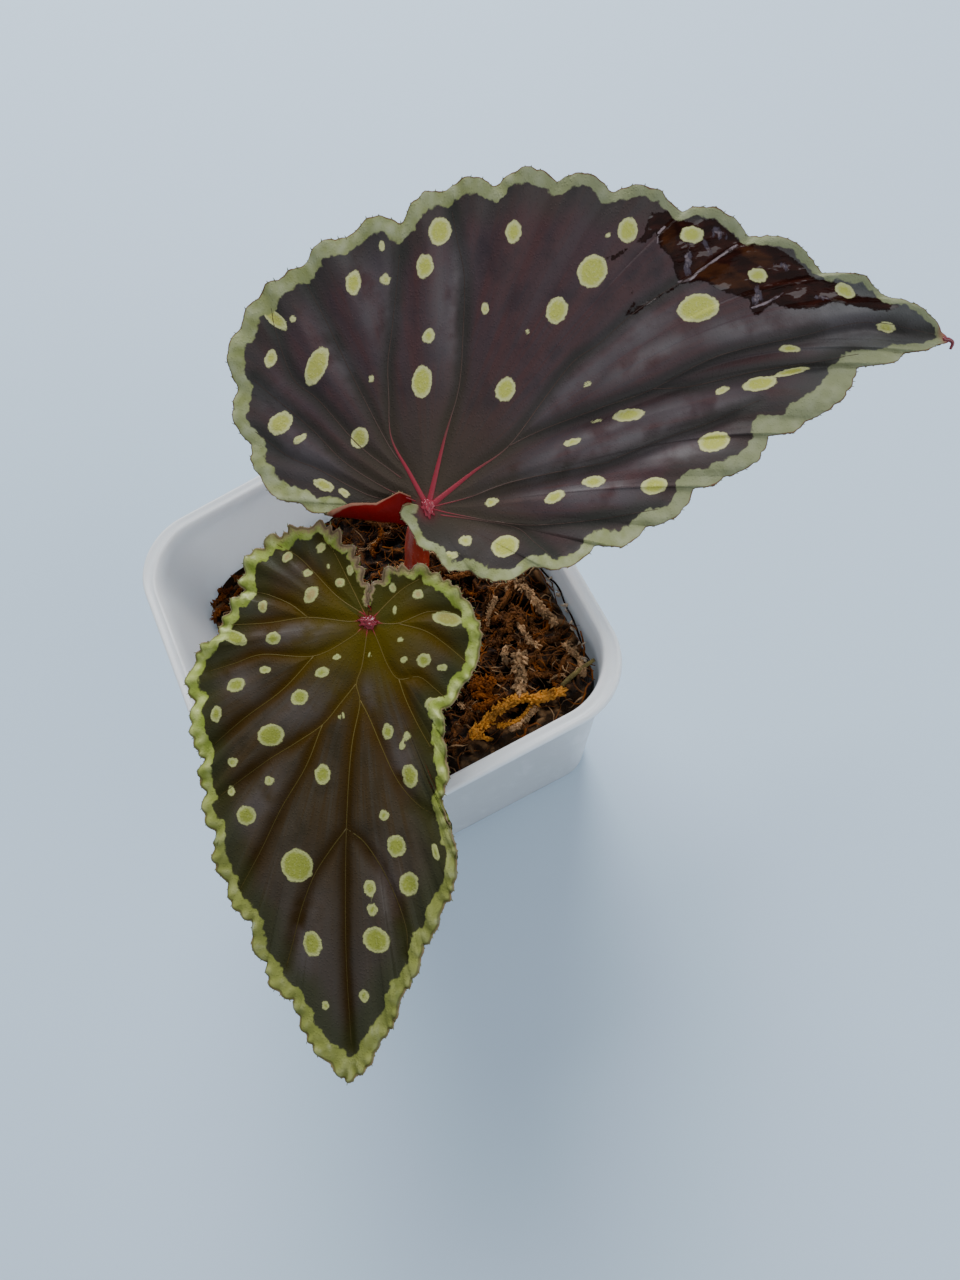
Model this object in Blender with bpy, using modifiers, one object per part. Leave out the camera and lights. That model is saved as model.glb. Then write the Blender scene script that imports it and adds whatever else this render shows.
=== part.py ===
"""A young begonia with two spotted leaves, rooted in moss in a small square nursery pot.

Metres, +Z up. The origin is the centre of the pot's base, X and Y run along the pot's sides,
and the pot stands on Z = 0. Everything is in one place: sizes first, then a function for each
sub-part.
"""
import math
import random

import bmesh
import bpy
import numpy as np
from mathutils import Vector, noise

MM = 0.001

# Pot: a thin tapered shell with a turned-out lip
POT_HEIGHT = 80.0
POT_LIP_HALF = 35.0
POT_LIP_CORNER = 12.7
POT_LIP_DEPTH = 1.9
POT_LIP_WIDTH = 2.4
POT_BASE_HALF = 23.5
POT_BASE_CORNER = 8.0
POT_WALL = 1.0
POT_FLOOR = 1.4
POT_CHAMFER = 0.8
POT_RING_HEIGHTS = (26.0, 52.0)
DRAIN_HOLE_RADIUS = 2.5
DRAIN_HOLE_FROM_CENTRE = 12.0
DRAIN_CUT_DEPTH = 6.0
DRAIN_SIDES = 20
CORNER_STEPS = 7
SIDE_STEPS = 4

# The lip's section, round from below: how far in from its outer edge, and how far below its top
POT_LIP_SECTION = (
    (1.1, POT_LIP_DEPTH), (0.35, POT_LIP_DEPTH), (0.0, POT_LIP_DEPTH - 0.35), (0.0, 0.5),
    (0.25, 0.12), (0.7, 0.0), (POT_LIP_WIDTH - 0.6, 0.0), (POT_LIP_WIDTH - 0.1, 0.25))

# Moss: fills the pot to a little below the lip, higher towards +X and -Y
GAP = 0.3
MOSS_TOP = 67.5
MOSS_RISE_X = 0.09
MOSS_RISE_Y = -0.07
MOSS_LUMP = 2.4
MOSS_LUMP_SIZE = 9.0
MOSS_GRAIN = 1.2
MOSS_GRAIN_SIZE = 4.0
MOSS_RINGS = (0.97, 0.9, 0.8, 0.7, 0.6, 0.5, 0.4, 0.3, 0.2, 0.1, 0.03)
MOSS_RING_HEIGHTS = (22.0, 42.0, 58.0)
MOSS_FOOT_HEIGHT = 1.2
MOSS_FOOT_CORNER = 0.4
MOSS_EDGE_BELOW_TOP = 4.0
MOSS_EDGE_INSET = 0.35
MOSS_EDGE_DROP = 2.2

# Short strands strewn on the moss, a seeded draw that keeps off the wall and the rhizome
STRAND_COUNT = 16
STRAND_SEED = 11
STRAND_FROM_WALL = 7.0
STRAND_FROM_RHIZOME = 12.0
STRAND_STEP = 4.0
STRAND_BEND = 0.5
STRAND_THICKNESS = (0.5, 0.8)
STRAND_SHOWING = 0.25
STRAND_END_SINK = 1.6
STRAND_SIDES = 6

# Rhizome: the creeping stem that both leaf stalks grow from, half sunk in the moss
RHIZOME_CENTRE = (2.6, -0.5, 67.2)
RHIZOME_HALF_LENGTH = 8.0
RHIZOME_RADIUS = 3.3
RHIZOME_SCARS = 5
RHIZOME_SCAR_DEPTH = 0.25
RHIZOME_KNOB = 0.35
RHIZOME_BLUNTNESS = 2.6

# Leaf blades: each lies on its own plane through the top of its stalk. A scallop's bulge is
# a share of the distance between its notches, up to a limit
BLADE = 0.7
RIM_ROW = 0.78
ROWS = (0.0, 0.13, 0.28, 0.45, 0.62, RIM_ROW, 0.9, 1.0)
SCALLOP_STEPS = 3
FOLD_ROUNDING = 6.0
FULL_RELIEF_FROM_HUB = 8.0
ROLL_SAG = 0.9
ROLL_ARCH = 0.62 * math.pi
MERGE_DISTANCE = 0.02


class Leaf:
    """A leaf's frame and shape. Along runs to the tip, across is to the left of it, up is out."""

    def __init__(self, junction, slope, heading, length, sweep, fold, dome, droop, notches, veins,
                 scallop, ruffle, pleat, rolled_edge=()):
        self.junction = np.array(junction)
        self.up = np.array((-slope[0], -slope[1], 1.0))
        self.up /= np.linalg.norm(self.up)
        turn = math.radians(heading)
        along = np.array((math.cos(turn), math.sin(turn), 0.0))
        along[2] = slope[0] * along[0] + slope[1] * along[1]
        self.along = along / np.linalg.norm(along)
        self.across = np.cross(self.up, self.along)
        self.length = length
        self.sweep = sweep
        self.fold = fold
        self.dome = dome
        self.droop = droop
        self.notches = notches
        self.veins = veins
        self.scallop = scallop
        self.ruffle = ruffle
        self.pleat = pleat
        self.rolled_edge = rolled_edge

    def outline(self):
        """The margin: one bulging scallop between each two notches, with its ruffle phase."""
        points, phases = [], []
        rolled = len(self.rolled_edge)
        for i, (a, b) in enumerate(zip(self.notches, self.notches[1:])):
            a, b = np.array(a), np.array(b)
            chord = b - a
            out = np.array((-chord[1], chord[0]))
            out = out / np.linalg.norm(out) * np.sign(out @ (a + b))
            steps = 1 if i < rolled else SCALLOP_STEPS
            for k in range(steps):
                t = k / steps
                bulge = 0.0 if i < rolled else self.bulge(np.linalg.norm(chord)) * math.sin(math.pi * t)
                points.append(a + chord * t + out * bulge)
                phases.append(0.0 if i < rolled else math.sin(math.pi * t) - 0.5)
        points.append(np.array(self.notches[-1]))
        phases.append(-0.5)
        return np.array(points), np.array(phases)

    def bulge(self, chord):
        """How far a scallop stands out from the line between its two notches."""
        share, most = self.scallop
        return min(share * chord, most)

    def vein_distance(self, u, v):
        """Distance in mm from a point of the blade to its nearest vein."""
        best = 1e9
        for line in self.veins:
            for (ax, ay), (bx, by) in zip(line, line[1:]):
                dx, dy = bx - ax, by - ay
                t = ((u - ax) * dx + (v - ay) * dy) / (dx * dx + dy * dy)
                t = min(1.0, max(0.0, t))
                best = min(best, math.hypot(u - ax - t * dx, v - ay - t * dy))
        return best

    def bow(self, u):
        """How far the midrib bows sideways, u mm along."""
        w = min(1.0, max(0.0, u / self.length))
        return self.sweep[0] * math.sin(math.pi * w) + self.sweep[1] * math.sin(2 * math.pi * w)

    def relief(self, u, v):
        """The blade's broad form: folded up or domed across, and drooping towards the tip."""
        drop, over = self.droop
        folded = self.fold * (math.hypot(v + self.bow(u), FOLD_ROUNDING) - FOLD_ROUNDING)
        return folded - self.dome * v * v - drop * (max(0.0, u) / over) ** 2

    def height(self, u, v, share, phase):
        """How far the blade stands off its plane, at a share of the way out to the margin."""
        valley = math.exp(-(self.vein_distance(u, v) / self.pleat[1]) ** 2)
        settled = min(1.0, math.hypot(u, v) / FULL_RELIEF_FROM_HUB)
        return (self.relief(u, v) - self.pleat[0] * valley * settled
                + self.ruffle * phase * share ** 4)

    def place(self, u, v, h):
        """World position, in metres, of a point of the straightened blade."""
        side = v + self.bow(u)
        return Vector((self.junction + self.along * u + self.across * side + self.up * h) * MM)

    def under(self, depth):
        """A point below the junction, where the stalk comes in."""
        return self.junction - self.up * depth


# The first points are the fold of the left lobe, whose margin is rolled up and back
LARGE_NOTCHES = [
    (-5.6, -0.1), (-7.5, 0.3), (-9.5, 0.8), (-12.0, 1.8), (-14.7, 4.0),
    (-18.0, 8.5), (-22.5, 12.5), (-22.0, 16.5), (-21.0, 25.0), (-17.0, 33.0), (-13.5, 35.5),
    (-9.5, 37.0), (-6.0, 37.5), (1.5, 39.0), (9.0, 36.5), (16.5, 37.0), (23.0, 34.0),
    (32.0, 30.5), (39.0, 26.0), (48.0, 20.5), (57.5, 15.0), (67.5, 9.0), (76.5, 6.0),
    (86.0, 0.0), (84.0, -0.3), (79.0, -1.5), (70.5, -4.0), (59.5, -13.0), (53.5, -13.5),
    (44.5, -18.0), (40.0, -17.5), (31.0, -20.0), (23.0, -18.5), (13.0, -16.5), (3.0, -11.5),
    (-0.5, -6.5), (-4.2, -1.0)]
LARGE_ROLLED_EDGE = [(-3.6, 3.8, 2.6), (-6.0, 3.7, 2.7), (-9.2, 4.2, 2.6), (-12.3, 4.3, 1.8)]
LARGE_VEINS = [
    [(0, 0), (-2, 11.5), (-0.5, 17), (3, 25), (7.5, 33.5)],
    [(0, 0), (5.5, 7.5), (10, 13), (13, 19.5), (15.5, 26), (16.5, 34.5)],
    [(14.5, 1.5), (22, 5), (32, 8), (41.5, 13)],
    [(0, 0), (8, 1), (14.5, 1.5), (20, 1), (38, -1), (61.5, 0), (84.5, 0.5)],
    [(0, 0), (6.5, -2), (13.5, -3.5), (27, -8), (44.5, -9.5), (53.5, -8.5)],
    [(0, 0), (3.5, -3), (10, -8), (24.5, -15.5), (33.5, -18.5)],
    [(38, -1), (45, -3.5), (63.5, -4)],
    [(0, 0), (-3, 12), (-4.5, 21.5), (-6.5, 35.5)],
    [(0, 0), (-7, 12), (-13, 24), (-12.5, 34)],
    [(0, 0), (-5.5, 5), (-10, 10.5), (-18.5, 25.5)],
    [(0, 0), (-8, 4.5), (-17.5, 13.5), (-21, 18.5)]]

SMALL_NOTCHES = [
    (-3.0, -0.4), (-6.5, -1.4), (-9.5, -2.1), (-12.0, -3.4), (-13.7, -6.2), (-14.1, -10.4),
    (-13.2, -14.8), (-11.2, -18.6), (-7.5, -21.2), (-4.1, -20.7), (-1.0, -23.2), (2.6, -24.3),
    (7.5, -28.3), (13.0, -27.3), (23.0, -24.0), (27.0, -23.5), (34.0, -21.0), (41.0, -19.5),
    (47.0, -14.5), (52.5, -13.0), (58.0, -8.5), (69.5, 0.0), (62.5, 5.5), (55.5, 8.5),
    (48.0, 12.0), (43.0, 14.5), (36.0, 17.0), (31.5, 15.5), (27.0, 14.0), (20.5, 15.0),
    (17.5, 13.5), (13.0, 13.0), (9.5, 15.5), (4.0, 17.5), (-2.0, 16.0), (-7.0, 11.0),
    (-8.0, 5.5), (-4.5, 0.7), (-3.0, 0.2)]
SMALL_VEINS = [
    [(0, 0), (6.5, 0), (19, 0), (39, 0), (64, 0.5)],
    [(0, 0), (-4, -5.5), (-9.5, -11.5), (-12.5, -17)],
    [(0, 0), (-6, -3.5), (-13, -8.5)],
    [(0, 0), (0, -3), (-0.5, -10), (1, -23.5)],
    [(0, 0), (5.5, -8), (5.5, -16.5), (8.5, -25.5)],
    [(5.5, -8), (12, -13.5), (20, -23)],
    [(9.5, -0.5), (16, -5), (22, -13.5), (28, -21)],
    [(16, -5), (29, -10.5), (42, -17)],
    [(31.5, 0), (39, -5), (53, -9.5)],
    [(31.5, 0), (36, 5), (49.5, 9.5)],
    [(0, 0), (0, 4.5), (-2, 13)],
    [(0, 4.5), (3, 12.5), (5.5, 16)],
    [(0, 0), (6.5, 4), (8, 9), (11, 13.5)],
    [(8.5, 6), (15.5, 10), (19, 12.5)],
    [(12, 0.5), (23, 7), (28.5, 13)]]

LARGE_LEAF = Leaf(
    junction=(18.0, 1.2, 98.0), slope=(0.05, 0.55), heading=-10.3, length=86.0,
    sweep=(8.7, -0.9), fold=0.16, dome=0.0, droop=(10.0, 90.0), notches=LARGE_NOTCHES,
    veins=LARGE_VEINS, scallop=(0.2, 1.9), ruffle=1.4, pleat=(0.8, 1.6),
    rolled_edge=LARGE_ROLLED_EDGE)
SMALL_LEAF = Leaf(
    junction=(1.7, -9.2, 94.0), slope=(0.05, 0.22), heading=-121.4, length=69.6,
    sweep=(-1.7, -0.3), fold=0.0, dome=0.0035, droop=(6.0, 75.0), notches=SMALL_NOTCHES,
    veins=SMALL_VEINS, scallop=(0.2, 0.9), ruffle=1.6, pleat=(0.7, 1.4))

# Leaf stalks: the points each one passes through, from the rhizome up to its blade
STALK_CLEARANCE = BLADE + GAP
LARGE_STALK = [(5.2, -0.2, 68.0), (6.6, 0.5, 71.0), (8.8, 1.5, 75.0), (11.8, 2.9, 81.0),
               (13.3, 3.6, 85.0), (14.9, 3.9, 88.5), (16.6, 3.7, 92.0), (17.7, 2.9, 94.8)]
LARGE_STALK_RADII = (2.5, 1.8)
SMALL_STALK = [(-0.4, -0.9, 68.0), (0.0, -1.6, 72.0), (0.7, -3.2, 78.0), (1.1, -5.3, 84.5),
               (1.5, -7.8, 89.5)]
SMALL_STALK_RADII = (1.9, 1.4)
STALK_SIDES = 12
STALK_SQUARE_END = 1.2
STALK_TAPER = 0.7

# Dead strands and a twig lying on the moss: the points of each on plan, and its thickness
MAIN_STRANDS = [
    ([(4.7, -27.1), (8.0, -25.0), (12.0, -24.6), (15.7, -25.3), (19.0, -26.4),
      (24.5, -27.0)], 0.9),
    ([(19.1, -16.4), (18.9, -20.0), (17.0, -22.2), (16.8, -25.0)], 0.8),
    ([(11.3, -26.0), (14.6, -27.4), (18.1, -28.0)], 0.6),
    ([(23.5, -26.6), (26.0, -25.6), (28.6, -24.8)], 0.7)]


def fresh_collection(name):
    """A collection of that name, linked to the scene."""
    made = bpy.data.collections.new(name)
    bpy.context.scene.collection.children.link(made)
    return made


def clear_scene():
    """Remove whatever the file opened with."""
    for obj in list(bpy.data.objects):
        bpy.data.objects.remove(obj, do_unlink=True)


def finish(name, colour, roughness, transmission=0.0):
    """A plain Principled material."""
    made = bpy.data.materials.new(name)
    made.use_nodes = True
    shader = made.node_tree.nodes["Principled BSDF"]
    shader.inputs["Base Color"].default_value = (*colour, 1.0)
    shader.inputs["Roughness"].default_value = roughness
    shader.inputs["Metallic"].default_value = 0.0
    shader.inputs["Transmission Weight"].default_value = transmission
    return made


def add_object(name, mesh, collection, material=None):
    """An object of that mesh in the collection."""
    made = bpy.data.objects.new(name, mesh)
    collection.objects.link(made)
    if material is not None:
        made.data.materials.append(material)
    return made


def from_bmesh(name, bm, collection, material=None):
    """An object from a bmesh, with its faces pointing out."""
    mesh = bpy.data.meshes.new(name)
    bm.to_mesh(mesh)
    bm.free()
    return add_object(name, mesh, collection, material)


def soften(obj, angle=40.0):
    """Shade a round piece smooth, with edges sharper than the angle kept."""
    obj.data.shade_smooth()
    obj.data.set_sharp_from_angle(angle=math.radians(angle))


def rounded_square(half, corner):
    """Points round a square with round corners, counter-clockwise from +X."""
    points = []
    for k in range(4):
        turn = k * math.pi / 2
        c, s = math.cos(turn), math.sin(turn)
        for i in range(SIDE_STEPS):
            run = -(half - corner) + 2 * (half - corner) * i / SIDE_STEPS
            points.append((c * half - s * run, s * half + c * run))
        for i in range(CORNER_STEPS):
            a = math.pi / 2 * i / CORNER_STEPS
            x = half - corner + corner * math.cos(a)
            y = half - corner + corner * math.sin(a)
            points.append((c * x - s * y, s * x + c * y))
    return points


def loft(bm, rings):
    """Skin a run of rings with the same number of points, and cap both ends."""
    loops = [[bm.verts.new(Vector(p) * MM) for p in ring] for ring in rings]
    count = len(loops[0])
    for low, high in zip(loops, loops[1:]):
        for i in range(count):
            j = (i + 1) % count
            bm.faces.new((low[i], low[j], high[j], high[i]))
    bm.faces.new(list(reversed(loops[0])))
    bm.faces.new(loops[-1])
    bmesh.ops.recalc_face_normals(bm, faces=bm.faces)


def pot_half(z):
    """Half the outer width of the pot's wall at a height, and its corner radius."""
    share = z / POT_HEIGHT
    top_half = POT_LIP_HALF - POT_LIP_WIDTH + POT_WALL
    return (POT_BASE_HALF + (top_half - POT_BASE_HALF) * share,
            POT_BASE_CORNER + (POT_LIP_CORNER - POT_LIP_WIDTH + POT_WALL - POT_BASE_CORNER) * share)


def ring_at(z, inset=0.0):
    """A ring of the pot's wall at a height, moved in by an inset."""
    half, corner = pot_half(z)
    return [(x, y, z) for x, y in rounded_square(half - inset, corner - inset)]


def lip_ring(z, inset):
    """A ring of the lip, moved in from its outer edge."""
    return [(x, y, z) for x, y in rounded_square(POT_LIP_HALF - inset, POT_LIP_CORNER - inset)]


def make_pot(parts, cutters, material):
    """One loft: base, outer wall, round the lip, and down the inner wall to the floor."""
    below_lip = POT_HEIGHT - POT_LIP_DEPTH - 0.5
    base = rounded_square(POT_BASE_HALF - POT_CHAMFER, POT_BASE_CORNER - POT_CHAMFER)
    rings = [[(x, y, 0.0) for x, y in base], ring_at(POT_CHAMFER)]
    rings += [ring_at(z) for z in (*POT_RING_HEIGHTS, below_lip)]
    rings += [lip_ring(POT_HEIGHT - drop, inset) for inset, drop in POT_LIP_SECTION]
    rings += [ring_at(z, POT_WALL) for z in (below_lip, *reversed(POT_RING_HEIGHTS), POT_FLOOR + POT_CHAMFER)]
    half, corner = pot_half(POT_FLOOR)
    floor = rounded_square(half - POT_WALL - POT_CHAMFER, corner - POT_WALL)
    rings.append([(x, y, POT_FLOOR) for x, y in floor])
    bm = bmesh.new()
    loft(bm, rings)
    pot = from_bmesh("pot", bm, parts, material)
    holes = bmesh.new()
    for sx in (-1, 1):
        for sy in (-1, 1):
            made = bmesh.ops.create_cone(
                holes, cap_ends=True, segments=DRAIN_SIDES, radius1=DRAIN_HOLE_RADIUS * MM,
                radius2=DRAIN_HOLE_RADIUS * MM, depth=DRAIN_CUT_DEPTH * MM)
            shift = Vector((sx * DRAIN_HOLE_FROM_CENTRE, sy * DRAIN_HOLE_FROM_CENTRE, 0.0)) * MM
            bmesh.ops.translate(holes, verts=made["verts"], vec=shift)
    cut(pot, as_cutter(from_bmesh("drain_holes", holes, cutters)))
    soften(pot)
    return pot


def as_cutter(obj):
    """Mark a tool shape, so that it isn't part of the model."""
    obj.hide_render = True
    obj.display_type = "WIRE"
    return obj


def cut(obj, cutter):
    """Take the cutter's shape out of the object."""
    step = obj.modifiers.new("cut_" + cutter.name, "BOOLEAN")
    step.operation = "DIFFERENCE"
    step.solver = "EXACT"
    step.object = cutter


def moss_height(x, y):
    """The uneven top of the moss at a point on plan."""
    lump = noise.noise(Vector((x, y, 3.1)) / MOSS_LUMP_SIZE)
    grain = noise.noise(Vector((x, y, 8.7)) / MOSS_GRAIN_SIZE)
    return (MOSS_TOP + MOSS_RISE_X * x + MOSS_RISE_Y * y
            + MOSS_LUMP * lump + MOSS_GRAIN * grain)


def tube(name, points, radii, sides, collection):
    """A closed tube mesh through the points, from a curve with a round bevel."""
    curve = bpy.data.curves.new(name, "CURVE")
    curve.dimensions = "3D"
    curve.bevel_depth = MM
    curve.bevel_resolution = sides // 2 - 2 if sides > 6 else 1
    curve.use_fill_caps = True
    line = curve.splines.new("POLY")
    line.points.add(len(points) - 1)
    for i, (p, r) in enumerate(zip(points, radii)):
        line.points[i].co = (*(Vector(p) * MM), 1.0)
        line.points[i].radius = r
    carrier = bpy.data.objects.new(name + "_path", curve)
    collection.objects.link(carrier)
    graph = bpy.context.evaluated_depsgraph_get()
    mesh = bpy.data.meshes.new_from_object(carrier.evaluated_get(graph))
    bm = bmesh.new()
    bm.from_mesh(mesh)
    bmesh.ops.remove_doubles(bm, verts=bm.verts, dist=MERGE_DISTANCE / 2 * MM)
    bmesh.ops.recalc_face_normals(bm, faces=bm.faces)
    bm.to_mesh(mesh)
    bm.free()
    mesh.name = name
    made = add_object(name, mesh, collection)
    made.matrix_world = carrier.matrix_world
    bpy.data.objects.remove(carrier)
    return made


def smooth_path(points, steps):
    """A smooth curve through the points (Catmull-Rom), with steps pieces between each two."""
    p = [Vector(q) for q in points]
    p = [2 * p[0] - p[1]] + p + [2 * p[-1] - p[-2]]
    path = []
    for a, b, c, d in zip(p, p[1:], p[2:], p[3:]):
        for k in range(steps):
            t = k / steps
            path.append(0.5 * (2 * b + (c - a) * t + (2 * a - 5 * b + 4 * c - d) * t * t
                               + (3 * b - a - 3 * c + d) * t ** 3))
    return path + [p[-2]]


def strand_routes():
    """The main strands, and seeded short ones scattered over the moss."""
    routes = [([Vector((x, y, 0.0)) for x, y in plan], thick) for plan, thick in MAIN_STRANDS]
    rng = random.Random(STRAND_SEED)
    reach = pot_half(MOSS_TOP)[0] - STRAND_FROM_WALL
    while len(routes) < len(MAIN_STRANDS) + STRAND_COUNT:
        x, y = rng.uniform(-reach, reach), rng.uniform(-reach, reach)
        turn, bend = rng.uniform(0, 2 * math.pi), rng.uniform(-STRAND_BEND, STRAND_BEND)
        plan = []
        for k in range(4):
            plan.append(Vector((x, y, 0.0)))
            x, y = x + STRAND_STEP * math.cos(turn), y + STRAND_STEP * math.sin(turn)
            turn += bend
        middle = Vector((*RHIZOME_CENTRE[:2], 0.0))
        clear = all((p - middle).length >= STRAND_FROM_RHIZOME for p in plan)
        inside = all(max(abs(p.x), abs(p.y)) < reach for p in plan)
        if inside and clear:
            routes.append((plan, rng.uniform(*STRAND_THICKNESS)))
    return routes


def make_moss(parts, cutters, material, rhizome_tool):
    """A lumpy plug that fills the pot, with dead strands lying half sunk in its top."""
    clear = POT_WALL + GAP
    floor = POT_FLOOR + GAP
    half, corner = pot_half(floor)
    foot = rounded_square(half - clear - MOSS_FOOT_HEIGHT, corner - clear - MOSS_FOOT_CORNER)
    rings = [[(x, y, floor) for x, y in foot]]
    rings += [ring_at(z, clear) for z in (floor + MOSS_FOOT_HEIGHT, *MOSS_RING_HEIGHTS)]
    half, corner = pot_half(MOSS_TOP - MOSS_EDGE_BELOW_TOP)
    edge = rounded_square(half - clear - MOSS_EDGE_INSET, corner - clear - MOSS_EDGE_INSET)
    rings.append([(x, y, moss_height(x, y) - MOSS_EDGE_DROP) for x, y in edge])
    for share in MOSS_RINGS:
        rings.append([(x * share, y * share, moss_height(x * share, y * share)) for x, y in edge])
    bm = bmesh.new()
    loft(bm, rings)
    bmesh.ops.triangulate(bm, faces=bm.faces)
    moss = from_bmesh("moss", bm, parts, material)
    strands = fresh_collection("moss_strands")
    for i, (plan, thick) in enumerate(strand_routes()):
        path = smooth_path(plan, 2)
        last = len(path) - 1
        points = []
        for k, p in enumerate(path):
            rise = -STRAND_END_SINK if k in (0, last) else STRAND_SHOWING * thick
            points.append((p.x, p.y, moss_height(p.x, p.y) + rise))
        tube("strand_%02d" % i, points, [thick] * len(points), STRAND_SIDES, strands)
    step = moss.modifiers.new("join_strands", "BOOLEAN")
    step.operation = "UNION"
    step.solver = "EXACT"
    step.operand_type = "COLLECTION"
    step.collection = strands
    bake(moss)
    for obj in list(strands.objects):
        bpy.data.objects.remove(obj)
    bpy.data.collections.remove(strands)
    cut(moss, rhizome_tool)
    return moss


def bake(obj):
    """Replace an object's mesh by its evaluated one and drop its modifiers."""
    graph = bpy.context.evaluated_depsgraph_get()
    mesh = bpy.data.meshes.new_from_object(obj.evaluated_get(graph))
    obj.modifiers.clear()
    obj.data = mesh


def rhizome_shape(extra):
    """A short knobbly spindle along X, ringed by leaf scars, grown by an extra skin."""
    bm = bmesh.new()
    bmesh.ops.create_uvsphere(bm, u_segments=14, v_segments=16, radius=1.0)
    for vert in bm.verts:
        x, y, z = vert.co.z, vert.co.x, vert.co.y
        scar = RHIZOME_SCAR_DEPTH * math.cos(math.pi * RHIZOME_SCARS * x)
        knob = RHIZOME_KNOB * noise.noise(Vector((3 * x, 2 * y, 2 * z)))
        girth = RHIZOME_RADIUS + scar + knob + extra
        blunt = max(0.0, 1 - abs(x) ** RHIZOME_BLUNTNESS) ** 0.5
        side = girth * blunt / max(1e-6, math.hypot(y, z)) if abs(x) < 0.999 else 0.0
        shift = Vector((x * (RHIZOME_HALF_LENGTH + extra), y * side, z * side))
        vert.co = (Vector(RHIZOME_CENTRE) + shift) * MM
    bmesh.ops.recalc_face_normals(bm, faces=bm.faces)
    return bm


def make_rhizome(parts, material):
    """The creeping stem itself."""
    rhizome = from_bmesh("rhizome", rhizome_shape(0.0), parts, material)
    soften(rhizome, 60.0)
    return rhizome


def make_stalk(name, leaf, points, radii, parts, material, rhizome_tool):
    """A leaf stalk, seated on the rhizome and ending square under its blade."""
    tips = [leaf.under(STALK_CLEARANCE + STALK_SQUARE_END), leaf.under(STALK_CLEARANCE)]
    path = smooth_path(list(points) + tips, 2)
    last = len(path) - 1
    girth = [radii[0] + (radii[1] - radii[0]) * (k / last) ** STALK_TAPER for k in range(last + 1)]
    stalk = tube(name, path, girth, STALK_SIDES, parts)
    stalk.data.materials.append(material)
    cut(stalk, rhizome_tool)
    soften(stalk, 50.0)
    return stalk


def make_leaf(name, leaf, parts, material):
    """A blade: a grid whose columns run from the stalk to the margin, then given its thickness."""
    margin, phases = leaf.outline()
    columns, rows = len(margin), len(ROWS)
    bm = bmesh.new()
    bmesh.ops.create_grid(bm, x_segments=columns - 1, y_segments=rows - 1, size=1.0)
    for vert in bm.verts:
        column = round((vert.co.x + 1) / 2 * (columns - 1))
        row = round((vert.co.y + 1) / 2 * (rows - 1))
        share = ROWS[row]
        rolled = column < len(leaf.rolled_edge)
        reach = min(1.0, share / RIM_ROW) if rolled else share
        u, v = margin[column] * reach
        h = leaf.height(u, v, 0.0 if rolled else share, phases[column])
        if rolled and share > RIM_ROW:
            t = (share - RIM_ROW) / (1 - RIM_ROW)
            edge_u, edge_v, lift = leaf.rolled_edge[column]
            fold = margin[column]
            u = fold[0] + (edge_u - fold[0]) * t
            v = fold[1] + (edge_v - fold[1]) * t - ROLL_SAG * math.sin(math.pi * t)
            h += lift * math.sin(ROLL_ARCH * t) / math.sin(ROLL_ARCH)
        vert.co = leaf.place(u, v, h)
    bmesh.ops.remove_doubles(bm, verts=bm.verts, dist=MERGE_DISTANCE * MM)
    normal = sum((f.normal * f.calc_area() for f in bm.faces), Vector())
    if normal.dot(Vector(leaf.up)) < 0:
        bmesh.ops.reverse_faces(bm, faces=bm.faces)
    blade = from_bmesh(name, bm, parts, material)
    blade.modifiers.new("triangles", "TRIANGULATE")
    skin = blade.modifiers.new("thickness", "SOLIDIFY")
    skin.thickness = BLADE * MM
    skin.offset = -1.0
    soften(blade, 60.0)
    return blade


def main():
    clear_scene()
    parts = fresh_collection("potted_begonia")
    cutters = fresh_collection("cutters")
    rhizome_tool = as_cutter(from_bmesh("rhizome_clearance", rhizome_shape(GAP), cutters))
    make_pot(parts, cutters, finish("frosted_plastic", (0.82, 0.84, 0.86), 0.35, 0.3))
    make_moss(parts, cutters, finish("moss", (0.09, 0.045, 0.02), 0.95), rhizome_tool)
    make_rhizome(parts, finish("rhizome", (0.30, 0.11, 0.06), 0.7))
    stalk_red = finish("stalk_red", (0.45, 0.04, 0.03), 0.45)
    make_stalk("petiole_large", LARGE_LEAF, LARGE_STALK, LARGE_STALK_RADII, parts, stalk_red, rhizome_tool)
    make_stalk("petiole_small", SMALL_LEAF, SMALL_STALK, SMALL_STALK_RADII, parts, stalk_red, rhizome_tool)
    make_leaf("leaf_large", LARGE_LEAF, parts, finish("leaf_large", (0.05, 0.03, 0.035), 0.35))
    make_leaf("leaf_small", SMALL_LEAF, parts, finish("leaf_small", (0.045, 0.035, 0.015), 0.35))


main()
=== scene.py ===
"""Dresses the potted begonia: two spotted leaves on red stalks, damp moss and a frosted nursery pot.

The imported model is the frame. Each piece made here stands for one of its nodes, at the same place
and size, and rides on its one body. Shapes are worked out in millimetres and placed in metres.
"""

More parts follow.
